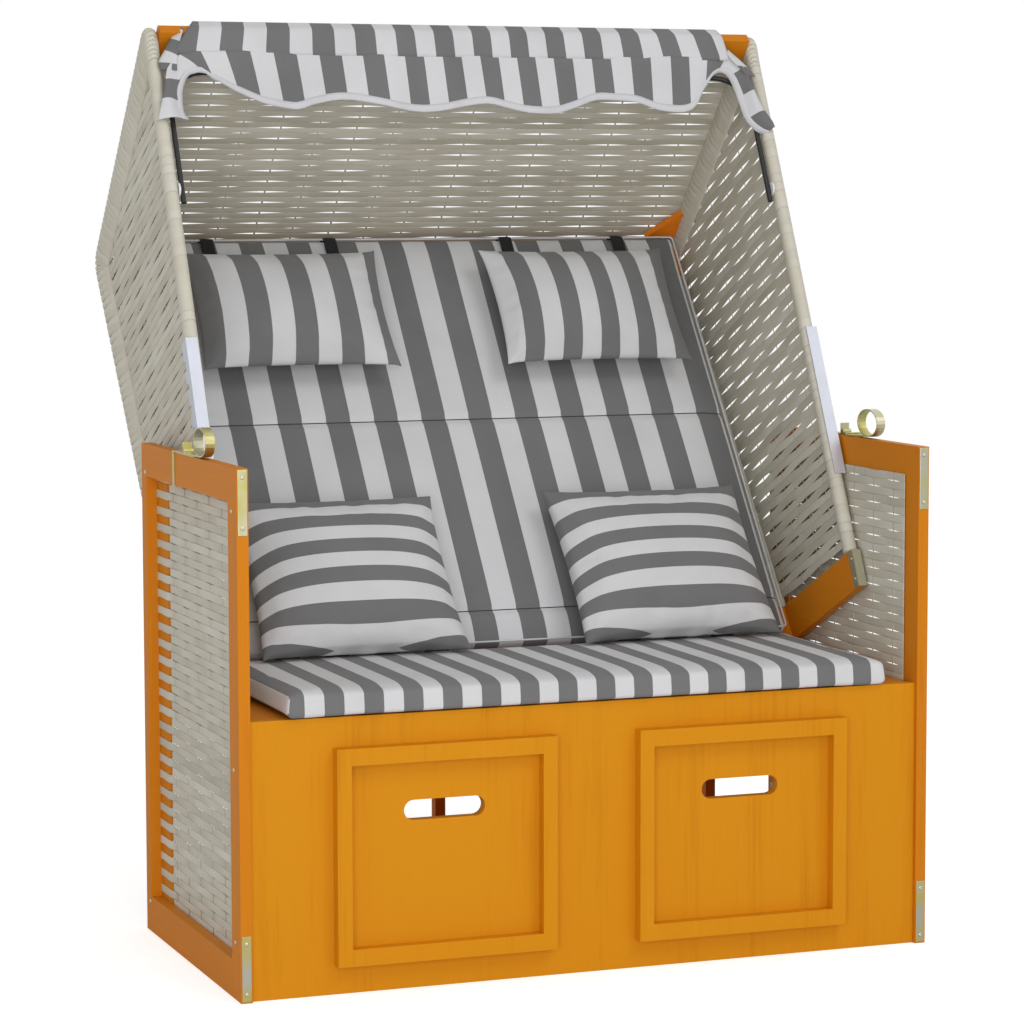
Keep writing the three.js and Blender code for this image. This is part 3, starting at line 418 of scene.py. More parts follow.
def weave(name, place, rows, pitch, stake, slits, rise, body, node, seed, lath=None, shift=0,
          bar=(0.0017, 0.0003)):
    """Plain weave of flat strips over thin stakes.

    Strip k runs along s at height (k + 1/2) pitch from s0 to s1. It swings out of the panel by
    rise cos(pi s / stake), in turn in front of and behind each stake. The gap between two strips
    opens as a long thin lens at every second stake: open (1 - |s - stake| / reach), where slits
    gives open and reach for the longer and the shorter gaps, and shift moves the gaps by one
    stake. A strip is flat in section, with eased edges. Over a lath that starts at lath[0], it
    stands lath[1] out or in. A stake is bar[0] half wide and bar[1] half thick.
    """
    rng = np.random.default_rng(seed)
    chances = 64
    luck = rng.uniform(-1, 1, (chances, chances))
    half = 0.00045
    vertices, faces, tones, start = [], [], [], 0

    def gap(k, s):
        parity = (k + shift) % 2
        nearest = 2 * np.round((s / stake - parity) / 2).astype(int) + parity
        chance = luck[k % chances, nearest % chances]
        longer = (nearest % 2 == 1) == (nearest > -1)
        opening = np.where(longer, slits[0][0], slits[1][0]) * (1 + 0.15 * chance)
        reach = np.where(longer, slits[0][1], slits[1][1]) * (1 + 0.1 * chance)
        return opening * np.maximum(0, 1 - np.abs(s - nearest * stake) / reach)

    for k, s0, s1 in rows:
        step = stake / 10
        inner = np.arange(math.ceil(s0 / step + 0.2), math.floor(s1 / step - 0.2) + 1) * step
        s = np.concatenate([[s0], inner, [s1]])
        low = k * pitch + gap(k - 1, s) / 2
        high = (k + 1) * pitch - gap(k, s) / 2
        turn = 1 if k % 2 else -1
        out = turn * rise * np.cos(math.pi * s / stake)
        if lath:
            over = np.clip((s - lath[0]) / 0.012 + 1, 0, 1)
            out = out * (1 - over) + turn * lath[1] * over
        near, far = low * 0.9 + high * 0.1, low * 0.1 + high * 0.9
        across = [low, near, far, high, high, far, near, low]
        thick = [0.6, 1, 1, 0.6, -0.6, -1, -1, -0.6]
        ring = np.stack([place(s, t, out + half * w) for t, w in zip(across, thick)], 1)
        count, sides = ring.shape[:2]
        vertices.append(ring.reshape(-1, 3))
        faces += bar_faces(count, sides, start)
        tone = 0.5 + 0.16 * rng.normal() + 0.12 * luck[k % chances, (np.arange(count) // 10) % chances]
        # Painted light: a strip is lighter where it swings out in front of a stake, and painted shade makes
        # it darker where it dips behind one.
        tone = tone + 0.1 * turn * np.cos(math.pi * s / stake)
        tones.append(np.repeat(np.clip(tone, 0, 1), sides))
        start += sides * count
    rows = np.array([(k * pitch, s0, s1) for k, s0, s1 in rows])
    for j in range(math.ceil(rows[:, 1].min() / stake), math.floor(rows[:, 2].max() / stake) + 1):
        s = j * stake
        held = rows[(rows[:, 1] <= s) & (rows[:, 2] >= s)]
        if len(held) < 2 or (lath and s > lath[0] - 0.02):
            continue
        t = np.linspace(held[:, 0].min(), held[:, 0].max() + pitch, 3)
        angle = np.arange(6) * math.pi / 3
        ring = np.stack([place(s + bar[0] * math.cos(a), t, bar[1] * math.sin(a)) for a in angle], 1)
        vertices.append(ring.reshape(-1, 3))
        faces += bar_faces(len(t), len(angle), start)
        # Painted shade: the stakes take the lowest tone, as they lie in the shadow of the strips.
        tones.append(np.full(len(vertices[-1]), 0.1))
        start += len(vertices[-1])
    tones = np.concatenate(tones)
    piece = new_piece(name, np.concatenate(vertices), faces, "wicker", body,
                      attributes={"tone": tones, "seam": np.zeros(len(tones))})
    if node:
        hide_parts(*node)
    return piece


def base_weaves():
    """Each base side's panel: level strips over upright stakes, and over the rear lath."""
    stake = 0.0735
    low, high, count = 0.054, 0.78, 52
    panel, front_stake = 0.5691, -0.4127
    for side, label in SIDES:
        def place(s, t, n, side=side):
            return np.stack(np.broadcast_arrays(side * (panel + n), s + front_stake, t + low), -1)
        rows = [(k, -0.04, 0.4722) for k in range(count)]
        weave(f"{label}_side_weave", place, rows, (high - low) / count, stake,
              ((0.0022, 0.028), (0.0022, 0.024)), 0.0004, "base", [f"{label}_side_wicker"],
              11 + side, (0.4022, 0.0029), bar=(0.0024, 0.00055))


def side_limits(z):
    """Where a strip at height z on a hood side meets the roof band or the back band."""
    roof_at = FRONT_TOP[0] + (FRONT_TOP[1] - ROOF_BAND - z) / ROOF_SLOPE
    back_at = FOOT[0] + (z - FOOT[1]) * BACK_SLOPE - BACK_BAND
    return min(roof_at, back_at)


def hood_weaves():
    """The fields of the hood's sides, and the woven roof and back between them."""
    pitch, first, origin = 0.016, 0.015, 0.3125
    tucked, start, shortest = 0.004, 0.0455, 0.06
    for side, label in SIDES:
        def place(s, t, n, side=side):
            return hood(side * (SIDE_MIDDLE + n), s - origin, t + RAIL_TOP + first)
        rows = []
        for k in range(int(1.0 / pitch)):
            end = side_limits((k + 0.5) * pitch + RAIL_TOP + first) + origin + tucked
            if end > shortest:
                rows.append((k, start, end))
        weave(f"{label}_hood_weave", place, rows, pitch, 0.0755, ((0.0046, 0.034), (0.0058, 0.042)),
              0.00022, "hood", None, 31 + side, shift=1)
    wide = 0.5407
    slits = ((0.0046, 0.047), (0.0026, 0.025))
    rows = [(k, -wide, wide) for k in range(42)]
    pitch, stake, rise = 0.01275, 0.07, 0.00015
    weave("hood_roof_weave", lambda s, t, n: roof(s, np.maximum(t + 0.003, 0.0055), 0.014 + n), rows,
          pitch, stake, slits, rise, "hood", ["hood_roof"], 51, shift=1)
    rows = [(k, -wide, wide) for k in range(62)]
    weave("hood_back_weave", lambda s, t, n: rear(s, t + 0.071, 0.011 + n), rows,
          pitch, stake, slits, rise, "hood", ["hood_back"], 53)


def corner_arc(a, b, c, radius, steps):
    """Points round the corner at b between its neighbours a and c."""
    before = (a - b) / np.linalg.norm(a - b)
    after = (c - b) / np.linalg.norm(c - b)
    half = math.acos(before @ after) / 2
    bisector = (before + after) / np.linalg.norm(before + after)
    centre = b + bisector * radius / math.sin(half)
    first, last = (b + d * radius / math.tan(half) - centre for d in (before, after))
    start = math.atan2(first[1], first[0])
    turn = math.atan2(first[0] * last[1] - first[1] * last[0], first @ last)
    angle = start + turn * np.linspace(0, 1, steps)
    return centre + radius * np.stack([np.cos(angle), np.sin(angle)], -1)


def hood_bands():
    """The strips wrapped round each hood side's frame.

    The band is a loft between the side's outline and the edge of its woven field. Over the width
    w from the outline its half thickness is a round nose, sqrt(r^2 - (r - w)^2), then r, and it
    tapers to the field. Where two wraps meet, a groove of depth |2 phase - 1|^sharp sinks in, and
    the phase bends over the width so that the groove is an arc.
    """
    foot_front = np.array([FRONT_TOP[0], RAIL_TOP])
    foot_rear = np.array([FOOT[0] + 0.0663 * BACK_SLOPE, RAIL_TOP])
    inner_front = -0.263
    roof_z = FRONT_TOP[1] - ROOF_BAND - ROOF_SLOPE * (inner_front - FRONT_TOP[0])
    # The height where the inner edges of the roof band and the back band cross
    top_z = (0.9666 - ROOF_SLOPE * (0.2828 - 0.033 * BACK_SLOPE)) / (1 + ROOF_SLOPE * BACK_SLOPE)
    inner_corners = [
        np.array([inner_front, RAIL_TOP]), np.array([inner_front, roof_z]),
        np.array([side_limits(top_z), top_z]), np.array([foot_rear[0] - BACK_BAND, RAIL_TOP]),
    ]
    front_arc = corner_arc(foot_front, FRONT_TOP, BACK_TOP, 0.022, 33)
    back_arc = corner_arc(FRONT_TOP, BACK_TOP, foot_rear, 0.04, 41)
    outer, inner, wraps, kinds = [], [], [], []
    # Kinds of wrap: 0 along the front edge, 1 round the corners, 2 along roof and back
    front, corner, rest = 0, 1, 2

    def run(o0, o1, i0, i1, count, kind, last=False):
        share = np.linspace(0, 1, 8 * count + 1)[:None if last else -1, None]
        outer.append(o0 + (o1 - o0) * share)
        inner.append(i0 + (i1 - i0) * share)
        wraps.append(count * share[:, 0])
        kinds.append(np.full(len(share), kind))

    def turn(arc, centre, count):
        outer.append(arc[:-1])
        inner.append(np.broadcast_to(centre, arc[:-1].shape))
        wraps.append(count * np.linspace(0, 1, len(arc))[:-1])
        kinds.append(np.full(len(arc) - 1, corner))

    near_top = FRONT_TOP - np.array([0, 0.075])
    inner_top = inner_corners[1] - np.array([0, 0.01])
    run(foot_front, near_top, inner_corners[0], inner_top, 56, front)
    run(near_top, front_arc[0], inner_top, inner_corners[1], 5, corner)
    turn(front_arc, inner_corners[1], 4)
    run(front_arc[-1], back_arc[0], inner_corners[1], inner_corners[2], 36, rest)
    turn(back_arc, inner_corners[2], 5)
    run(back_arc[-1], foot_rear, inner_corners[2], inner_corners[3], 50, rest, last=True)
    outer, inner = np.concatenate(outer), np.concatenate(inner)
    wraps, kinds = np.concatenate(wraps), np.concatenate(kinds)
    depth = np.array([0.0005, 0.0034, 0.0022])[kinds]
    rng = np.random.default_rng(7)
    width = np.linalg.norm(inner - outer, axis=1)
    inward = (inner - outer) / width[:, None]
    radius = (SIDE_OUTER - SIDE_INNER) / 2
    shares = np.array([0, 0.012, 0.05, 0.12, 0.2, 0.3, 0.42, 0.56, 0.7, 0.85, 1.0])
    bases = np.floor(wraps + 1e-6)
    ids = np.concatenate([[0], np.cumsum(np.diff(bases) != 0)])
    for side, label in SIDES:
        luck = rng.uniform(0, 1, ids.max() + 3)
        rings, seams = [], []
        for turn_side in (1, -1):
            walk = shares if turn_side > 0 else shares[-1:0:-1]
            for share in walk:
                phase = wraps + 1e-6 + np.where(kinds == front, 0, 0.5 * (share - 0.25) ** 2)
                frac = phase - np.floor(phase)
                near = np.minimum(ids + (np.floor(phase) - bases).astype(int) + (frac > 0.5), len(luck) - 1)
                chance = luck[near]
                shown = np.where(kinds == front, (chance > 0.55) * chance, 0.35 + 0.65 * chance)
                line = np.abs(2 * frac - 1) ** np.where(kinds == front, 9, 5) * shown
                fade = np.clip((share - 0.5) / 0.5, 0, 1)
                fade = fade * fade * (3 - 2 * fade)
                groove = depth * line * (1 - fade)
                w = share * width
                nose = np.sqrt(np.maximum(radius ** 2 - np.maximum(radius - w, 0) ** 2, 0))
                half = nose + (0.0024 - nose) * fade
                half = np.maximum(half - groove, 0)
                spot = outer + inward * (w + groove * (share < 0.3))[:, None]
                rings.append(hood(side * (SIDE_MIDDLE + turn_side * half), spot[:, 0], spot[:, 1]))
                # Painted shade: each groove between wraps gets a seam value that darkens it in the wicker
                # material, weaker on the front edge and towards the field.
                seams.append(line * (1 - 0.8 * fade) * np.where(kinds == front, 0.55, 1))
        vertices = np.stack(rings, 1)
        count, ring = vertices.shape[:2]
        faces = bar_faces(count, ring)
        tones = np.repeat(0.62 + 0.3 * (luck[ids] - 0.5), ring)
        piece = new_piece(f"{label}_hood_wraps", vertices, faces, "wicker", "hood",
                          attributes={"tone": tones, "seam": np.stack(seams, 1)})
        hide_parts(f"{label}_hood_side")


# Cushions and pillows

def swell(piece, cap, pressure):
    """Cloth with air pressure on a closed mesh. No point moves further than cap."""
    frames, stiff = 20, 15.0
    rest = read_points(piece.data)
    cloth = piece.modifiers.new("swell", "CLOTH")
    cloth.settings.quality = 5
    cloth.settings.mass = 0.2
    cloth.settings.tension_stiffness = stiff
    cloth.settings.compression_stiffness = stiff
    cloth.settings.shear_stiffness = 5.0
    cloth.settings.bending_stiffness = 0.4
    cloth.settings.use_pressure = True
    cloth.settings.uniform_pressure_force = pressure
    cloth.settings.effector_weights.gravity = 0
    cloth.point_cache.frame_start = 1
    cloth.point_cache.frame_end = frames
    scene = bpy.context.scene
    for number in range(1, frames + 1):
        scene.frame_set(number)
    shaped = piece.evaluated_get(bpy.context.evaluated_depsgraph_get())
    move = read_points(shaped.to_mesh()) - rest
    shaped.to_mesh_clear()
    piece.modifiers.remove(cloth)
    scene.frame_set(1)
    size = np.linalg.norm(move, axis=1)[:, None]
    rest = rest + move * np.minimum(1, cap / np.maximum(size, 1e-9))
    write_points(piece.data, rest)


def subdivide(piece):
    """One level of subdivision."""
    made = piece.modifiers.new("round", "SUBSURF")
    made.levels = made.render_levels = 1


def pillow_sheets(width, height, thick, columns, rows, fullness, draw, sag):
    """Two sheets of cloth joined at their rim.

    In shares u, v of -1 to 1: across = u w/2 (1 - draw (1 - v^2)), up likewise, and out is
    thick/2 (cos(pi u/2) cos(pi v/2))^(fullness/2), with the stations packed towards the rim.
    Low down the belly hangs: up changes by sag (1 - u^2) exp(-((v + 0.75)/0.28)^2) (0.25 - share).
    """
    u = np.sin(math.pi / 2 * np.linspace(-1, 1, columns))
    u = 0.5 * u + 0.5 * np.linspace(-1, 1, columns)
    v = np.sin(math.pi / 2 * np.linspace(-1, 1, rows))
    v = 0.5 * v + 0.5 * np.linspace(-1, 1, rows)
    grid_u, grid_v = np.meshgrid(u, v)
    across = grid_u * width / 2 * (1 - draw * (1 - grid_v ** 2))
    up = grid_v * height / 2 * (1 - draw * (1 - grid_u ** 2))
    swell_by = np.maximum(np.cos(math.pi * grid_u / 2) * np.cos(math.pi * grid_v / 2), 0)
    share = swell_by ** (fullness / 2)
    out = thick / 2 * share
    low = (1 - grid_u ** 2) * np.exp(-((grid_v + 0.75) / 0.28) ** 2)
    up = up + sag * low * (0.25 - share)
    index = np.arange(rows * columns).reshape(rows, columns)
    rim = np.zeros((rows, columns), bool)
    rim[[0, -1], :] = rim[:, [0, -1]] = True
    second = index.copy()
    second[~rim] = rows * columns + np.arange((~rim).sum())
    first_points = np.stack([across, up, out], -1).reshape(-1, 3)
    second_points = np.stack([across, up, -out], -1)[~rim]
    quads = []
    for table, order in ((index, 1), (second, -1)):
        quad = np.stack([table[:-1, :-1], table[:-1, 1:], table[1:, 1:], table[1:, :-1]], -1).reshape(-1, 4)
        quads.append(quad[:, ::order])
    cloth_u = np.concatenate([grid_u.ravel(), grid_u[~rim]])
    cloth_v = np.concatenate([grid_v.ravel(), grid_v[~rim]])
    return np.concatenate([first_points, second_points]), np.concatenate(quads), cloth_u, cloth_v


def pillow(name, place, size, fullness, sag, stripe, body, node, clamp, seed):
    """A scatter pillow with a knife edge: two bulged sheets, creased and brought to full size.

    Puckers near the rim: out times 1 + 0.09 near (two sine waves along the rim), where near is
    m^6 (1 - m^14) and m the larger of |u| and |v|. After the simulation the pillow is scaled to
    its width, height and thickness, put in its place and kept clear of what carries it.
    """
    width, height, thick = size
    points, quads, u, v = pillow_sheets(width, height, thick * 0.96, 57, 49, fullness, 0.05, sag)
    rng = np.random.default_rng(seed)
    phases = rng.uniform(0, 6.28, 8)
    pucker = np.sin(19 * u + phases[0]) + np.sin(31 * u + phases[1])
    pucker_v = np.sin(17 * v + phases[2]) + np.sin(27 * v + phases[3])
    outer = np.maximum(np.abs(v), np.abs(u))
    near = outer ** 6 * (1 - outer ** 14)
    points[:, 2] *= 1 + 0.09 * near * np.where(np.abs(v) > np.abs(u), pucker, pucker_v)
    piece = new_piece(name, points, quads, "fabric", None, attributes={
        "stripe": stripe(u, v), "plain": np.zeros(len(u)),
    })
    cap, pressure = 0.005, 5.0
    swell(piece, cap, pressure)
    now = read_points(piece.data)
    now *= np.array([width, height, thick]) / (now.max(0) - now.min(0))
    write_points(piece.data, clamp(place(now[:, 0], now[:, 1], now[:, 2])))
    subdivide(piece)
    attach(piece, body)
    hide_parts(node)
    return piece


def keep_off(points, origin, normal, gap):
    """Points pushed out to a plane, at least gap in front of it."""
    normal = np.asarray(normal) / np.linalg.norm(normal)
    depth = (points - origin) @ normal - gap
    return points - np.minimum(depth, 0)[:, None] * normal


def pillows():
    """Two head pillows on the back cushion and two lumbar pillows on the seat."""
    face = back(0.0, 0.0, 0.0)
    out = back(0.0, 0.0, 1.0) - face
    seat_top = np.array([0.0, 0.0, 0.4822])
    angle = TILT + LEAN
    lean_out = np.array([0, -math.cos(angle), math.sin(angle)])
    lean_up = np.array([0, math.sin(angle), math.cos(angle)])

    def on_face(points):
        return keep_off(points, face, out, 0.0006)

    def on_seat(points):
        points = keep_off(points, seat_top, (0, 0, 1), 0.0004)
        return keep_off(points, face, out, 0.0025)

    def lumbar_stripe(u, v):
        bend = 0.13 * u ** 4 * (1 - v ** 2)
        rolled = 0.2 * (1 - u ** 2) * np.clip(-2.5 * v - 1.5, 0, 1)
        return (v + 1 + bend + rolled) * 2.75

    for side, label in SIDES:
        def head_place(x, y, z, side=side):
            return back(side * 0.278 + x, 0.656 + y, 0.0545 + z)

        def head_stripe(u, v, side=side):
            count, start = (2.17, 0) if side < 0 else (2.5, 0.5)
            return (u + 1) * count + start

        def lumbar_place(x, y, z, side=side):
            centre = np.array([side * 0.283, -0.190552, 0.4828]) + 0.157 * lean_up
            return centre + np.outer(x, (1, 0, 0)) + np.outer(y, lean_up) + np.outer(z - 0.06 * y, lean_out)

        pillow(f"{label}_head_pillow_cover", head_place, (0.36, 0.254, 0.108), 1.25, 0.0,
               head_stripe, "hood", f"{label}_head_pillow", on_face, 3 + side)
        pillow(f"{label}_lumbar_pillow_cover", lumbar_place, (0.365, 0.318, 0.118), 0.86, 0.045,
               lumbar_stripe, f"lumbar_{label}", f"{label}_lumbar_pillow", on_seat, 13 + side)


def pad(name, place, size, edge, seams, body, node, stripe, look, flare):
    """A flat cushion: a rounded slab remeshed to voxels, blown up and brought to full size.

    Towards the edges of each field between two seams it sinks by crown (1 - (1 - along^4)
    (1 - (2 x / width)^6)), and at a seam by groove exp(-((y - seam) / 0.006)^2), both times the
    share of its height. Its sides draw in by flare share^0.8.
    """
    crown, groove = 0.002, 0.005
    voxel, cap, pressure = 0.006, 0.006, 4.0
    width, length, thick = size
    mesh = bpy.data.meshes.new(name + "_core")
    form = bmesh.new()
    bmesh.ops.create_cube(form, size=1.0)
    for vertex in form.verts:
        x, y, z = vertex.co
        vertex.co = Vector((x * (width - 0.008), (y + 0.5) * (length - 0.008) + 0.004,
                            (z + 0.5) * (thick - 0.006)))
    bmesh.ops.bevel(form, geom=form.edges[:], offset=edge, segments=4, profile=0.5, affect="EDGES")
    form.to_mesh(mesh)
    form.free()
    core = bpy.data.objects.new(name + "_core", mesh)
    bpy.context.scene.collection.objects.link(core)
    remesh = core.modifiers.new("remesh", "REMESH")
    remesh.mode = "VOXEL"
    remesh.voxel_size = voxel
    shaped = core.evaluated_get(bpy.context.evaluated_depsgraph_get())
    fine = bpy.data.meshes.new_from_object(shaped)
    bpy.data.objects.remove(core)
    bpy.data.meshes.remove(mesh)
    points = read_points(fine)
    quads = [list(polygon.vertices) for polygon in fine.polygons]
    bpy.data.meshes.remove(fine)
    piece = new_piece(name, points, quads, look, None)
    swell(piece, cap, pressure)
    now = read_points(piece.data)
    now[:, 0] *= width / np.ptp(now[:, 0])
    now[:, 1] = (now[:, 1] - now[:, 1].min()) * length / np.ptp(now[:, 1])
    now[:, 2] = (now[:, 2] - now[:, 2].min()) * thick / np.ptp(now[:, 2])
    bounds = np.array([0.0, *seams, length])
    share = np.clip(now[:, 2] / thick, 0, 1)
    y = np.clip(now[:, 1], 0, length)
    field = np.clip(np.searchsorted(bounds, y) - 1, 0, len(bounds) - 2)
    low, high = bounds[field], bounds[field + 1]
    along = (2 * y - low - high) / (high - low)
    now[:, 2] += share * crown * ((1 - along ** 4) * (1 - (2 * now[:, 0] / width) ** 6) - 1)
    for seam in seams:
        now[:, 2] -= share * groove * np.exp(-((now[:, 1] - seam) / 0.006) ** 2)
    pull = flare * np.clip(now[:, 2] / thick, 0, 1) ** 0.8
    now[:, 0] -= pull * np.sign(now[:, 0]) * np.abs(2 * now[:, 0] / width) ** 12
    now[:, 1] -= pull * np.sign(now[:, 1] - length / 2) * np.abs(2 * now[:, 1] / length - 1) ** 12
    now[:, 2] = np.clip(now[:, 2], 0, thick + 0.002)
    now[:, 0] = np.clip(now[:, 0], -width / 2 - 0.002, width / 2 + 0.002)
    now[:, 1] = np.clip(now[:, 1], -0.001, length + 0.001)
    mesh = piece.data
    mark(mesh, "stripe", stripe(now))
    mark(mesh, "up", now[:, 1])
    write_points(mesh, now)
    normals = np.empty(len(mesh.polygons) * 3)
    mesh.polygons.foreach_get("normal", normals)
    mark(mesh, "plain", np.abs(normals.reshape(-1, 3)[:, 0]) > 0.75, "FACE")
    write_points(mesh, place(now[:, 0], now[:, 1], now[:, 2]))
    subdivide(piece)
    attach(piece, body)
    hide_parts(node)
    return piece


def cushions():
    """The seat cushion and the back cushion with its light piping."""
    seat_size, seat_front, seat_bottom = (1.032, 0.389, 0.047), -0.5056, 0.437
    back_size = (1.038, 0.851, 0.05)

    def seat_place(x, y, z):
        droop = 0.004 * np.clip((0.0145 - y) / 0.008, 0, 1) * np.clip(1 - z / 0.03, 0, 1)
        return np.stack([x, y + seat_front, z + seat_bottom - droop], -1)

    def back_place(x, y, z):
        return back(x, y, z - back_size[2])

    def stripes(pitch, start):
        return lambda points: (points[:, 0] - start) / pitch

    pad("seat_cushion_cover", seat_place, seat_size, 0.008, (),
        "base", "seat_cushion", stripes(0.0647, -0.0004), "fabric", 0.007)
    pad("back_cushion_cover", back_place, back_size, 0.006, BACK_SEAMS,
        "hood", "back_cushion", stripes(0.0878, 0.1135), "back_fabric", 0.0)
    half, low, high, turn = 0.5168, 0.003, 0.8484, 0.006
    route = []
    for x, y, start in ((half, high, 0), (-half, high, 90), (-half, low, 180), (half, low, 270)):
        for step in range(7):
            angle = math.radians(start + 15 * step)
            cx, cy = x - math.copysign(turn, x), y - (turn if y > 0.4 else -turn)
            route.append(back(cx + turn * math.cos(angle), cy + turn * math.sin(angle), -0.003))
    dense = []
    for a, b in zip(route, route[1:] + route[:1]):
        steps = max(1, int(np.linalg.norm(b - a) / 0.02))
        dense += [a + (b - a) * m / steps for m in range(steps)]
    vertices, faces = tube(dense, 0.0017, 8, closed=True)
    new_piece("back_cushion_piping", vertices, faces, "piping", "hood")


def straps():
    """Two black straps for each head pillow, over the back cushion's top to the rail."""
    route = [(0.768, 0.040), (0.778, 0.016), (0.793, 0.0055), (0.815, 0.0022), (0.838, 0.0018),
             (0.8495, -0.001), (0.8535, -0.012), (0.8535, -0.035), (0.854, -0.049),
             (0.8602, -0.054), (0.8602, -0.068)]
    for label, places in (("left", (-0.386, -0.157)), ("right", (0.1805, 0.402))):
        parts = []
        for x in places:
            path = smooth_path([back(x, up, out) for up, out in route], 5)
            parts.append(tube(path, 0.0125, 10, flat=0.075, wide=(1, 0, 0)))
        vertices, faces = gather(parts)
        new_piece(f"{label}_pillow_straps", vertices, faces, "strap", "hood")


# Awning

# Where the cloth's stripe edges cross the roof edge, the seam from above and below, and the hem
EDGES = np.array([-1, 1, 3, 5, 7, 10, 14, 18, 21, 24, 27, 29])
AT_ROOF = np.array([
    -0.553, -0.471, -0.393, -0.315, -0.239, -0.129, 0.009, 0.146, 0.249, 0.354, 0.459, 0.53,
])
ABOVE_SEAM = np.array([
    -0.564, -0.484, -0.404, -0.321, -0.240, -0.128, 0.011, 0.147, 0.252, 0.366, 0.475, 0.55,
])
BELOW_SEAM = np.array([
    -0.561, -0.477, -0.391, -0.310, -0.230, -0.116, 0.021, 0.157, 0.265, 0.380, 0.487, 0.56,
])
AT_HEM = np.array([
    -0.535, -0.455, -0.376, -0.301, -0.224, -0.112, 0.026, 0.161, 0.267, 0.374, 0.480, 0.54,
])
# Points of the hem and of the seam line: across and height
HEM = np.array([
    (-0.451, 0.915), (-0.439, 0.906), (-0.419, 0.894), (-0.398, 0.885), (-0.378, 0.877), (-0.356, 0.870),
    (-0.322, 0.863), (-0.304, 0.866), (-0.285, 0.873), (-0.249, 0.880), (-0.218, 0.881), (-0.196, 0.878),
    (-0.144, 0.867), (-0.095, 0.861), (-0.055, 0.863), (-0.012, 0.871), (0.032, 0.875), (0.066, 0.868),
    (0.105, 0.859), (0.150, 0.859), (0.190, 0.870), (0.232, 0.885), (0.270, 0.883), (0.312, 0.879),
    (0.350, 0.867), (0.385, 0.863), (0.408, 0.867), (0.423, 0.879), (0.433, 0.895), (0.444, 0.913),
])
SEAM_LINE = np.array([
    (-0.513, 0.959), (-0.43, 0.962), (-0.29, 0.967), (0.25, 0.968), (0.38, 0.963), (0.5, 0.964),
])
# The ends that hang over the bail's arms: outer edge, hem, and the stripe count at both
LEFT_END = np.array([
    (-0.564, 0.835, -0.507, 0.843, -3.0, -3.0), (-0.558, 0.855, -0.514, 0.856, -2.5, -2.5),
    (-0.552, 0.874, -0.515, 0.876, -2.0, -2.0), (-0.547, 0.892, -0.512, 0.898, -1.5, -1.45),
    (-0.543, 0.909, -0.505, 0.915, -1.0, -1.0), (-0.537, 0.930, -0.497, 0.925, -0.6, -0.7),
    (-0.522, 0.947, -0.489, 0.928, -0.3, -0.5), (-0.508, 0.958, -0.480, 0.930, 0.2, -0.3),
    (-0.493, 0.960, -0.468, 0.928, 0.6, 0.15),
])
RIGHT_END = np.array([
    (0.468, 0.964, 0.455, 0.927, 26.5, 26.45), (0.487, 0.965, 0.467, 0.937, 27.0, 26.8),
    (0.507, 0.963, 0.478, 0.941, 27.4, 27.3), (0.519, 0.950, 0.489, 0.938, 27.8, 27.8),
    (0.523, 0.938, 0.496, 0.927, 28.2, 28.1), (0.527, 0.924, 0.500, 0.913, 28.5, 28.5),
    (0.532, 0.900, 0.504, 0.895, 29.0, 28.9), (0.538, 0.880, 0.508, 0.877, 29.5, 29.4),
    (0.546, 0.860, 0.512, 0.857, 30.0, 29.8), (0.553, 0.848, 0.520, 0.840, 30.4, 30.3),
    (0.558, 0.838, 0.533, 0.826, 30.7, 30.6), (0.560, 0.828, 0.548, 0.821, 31.0, 31.0),
])
# The upper cloth's line from the roof over the front edge and down to the seam
ROOF_ROUTE = np.array([
    FRONT_TOP + 0.06 * ROOF_ALONG + 0.0095 * ROOF_IN, FRONT_TOP + 0.03 * ROOF_ALONG + 0.0075 * ROOF_IN,
    FRONT_TOP + 0.006 * ROOF_ALONG + 0.0062 * ROOF_IN, FRONT_TOP - 0.003 * ROOF_ALONG + 0.0125 * ROOF_IN,
    FRONT_TOP - 0.0068 * ROOF_ALONG + 0.024 * ROOF_IN, FRONT_TOP - 0.0073 * ROOF_ALONG + 0.040 * ROOF_IN,
    np.array([-0.3112, 0.956]),
])


def ribbon(name, grid, body, stripe):
    """A striped sheet over a grid of points, with a Solidify for its thickness."""
    rows, columns = grid.shape[:2]
    values = {"stripe": stripe / 2, "plain": np.zeros(stripe.shape)}
    piece = new_piece(name, grid, grid_faces(rows, columns), "fabric", body, attributes=values)
    made = piece.modifiers.new("thick", "SOLIDIFY")
    made.thickness = 0.0012
    made.offset = 0
    return piece


def roof_cloth():
    """The awning's upper cloth: from the roof over the front edge and down to the seam.

    Across, a row runs between two side edges that spread towards the seam. The stripe count is
    interpolated between its values at the roof's edge and at the seam.
    """
    path = smooth_path(ROOF_ROUTE, 6)
    rows = len(path)
    height = path[:, 1]
    drop = np.clip((1.0225 - height) / (1.0225 - 0.964), 0, 1) * (path[:, 0] < -0.29)
    left = -0.480 - 0.040 * drop
    right = 0.480 + 0.012 * drop
    share = np.linspace(0, 1, 181)
    x = left[:, None] + (right - left)[:, None] * share
    stripe = np.empty(x.shape)
    for row in range(rows):
        edges = AT_ROOF + (ABOVE_SEAM - AT_ROOF) * drop[row]
        stripe[row] = np.interp(x[row], edges, EDGES)
    sag = 0.0012 * np.sin(math.pi * drop)[:, None] * np.sin(23 * x + 1)
    points = hood(x, path[:, :1] - sag, height[:, None] + 0 * x)
    return ribbon("awning_roof_cloth", points, "hood", stripe)


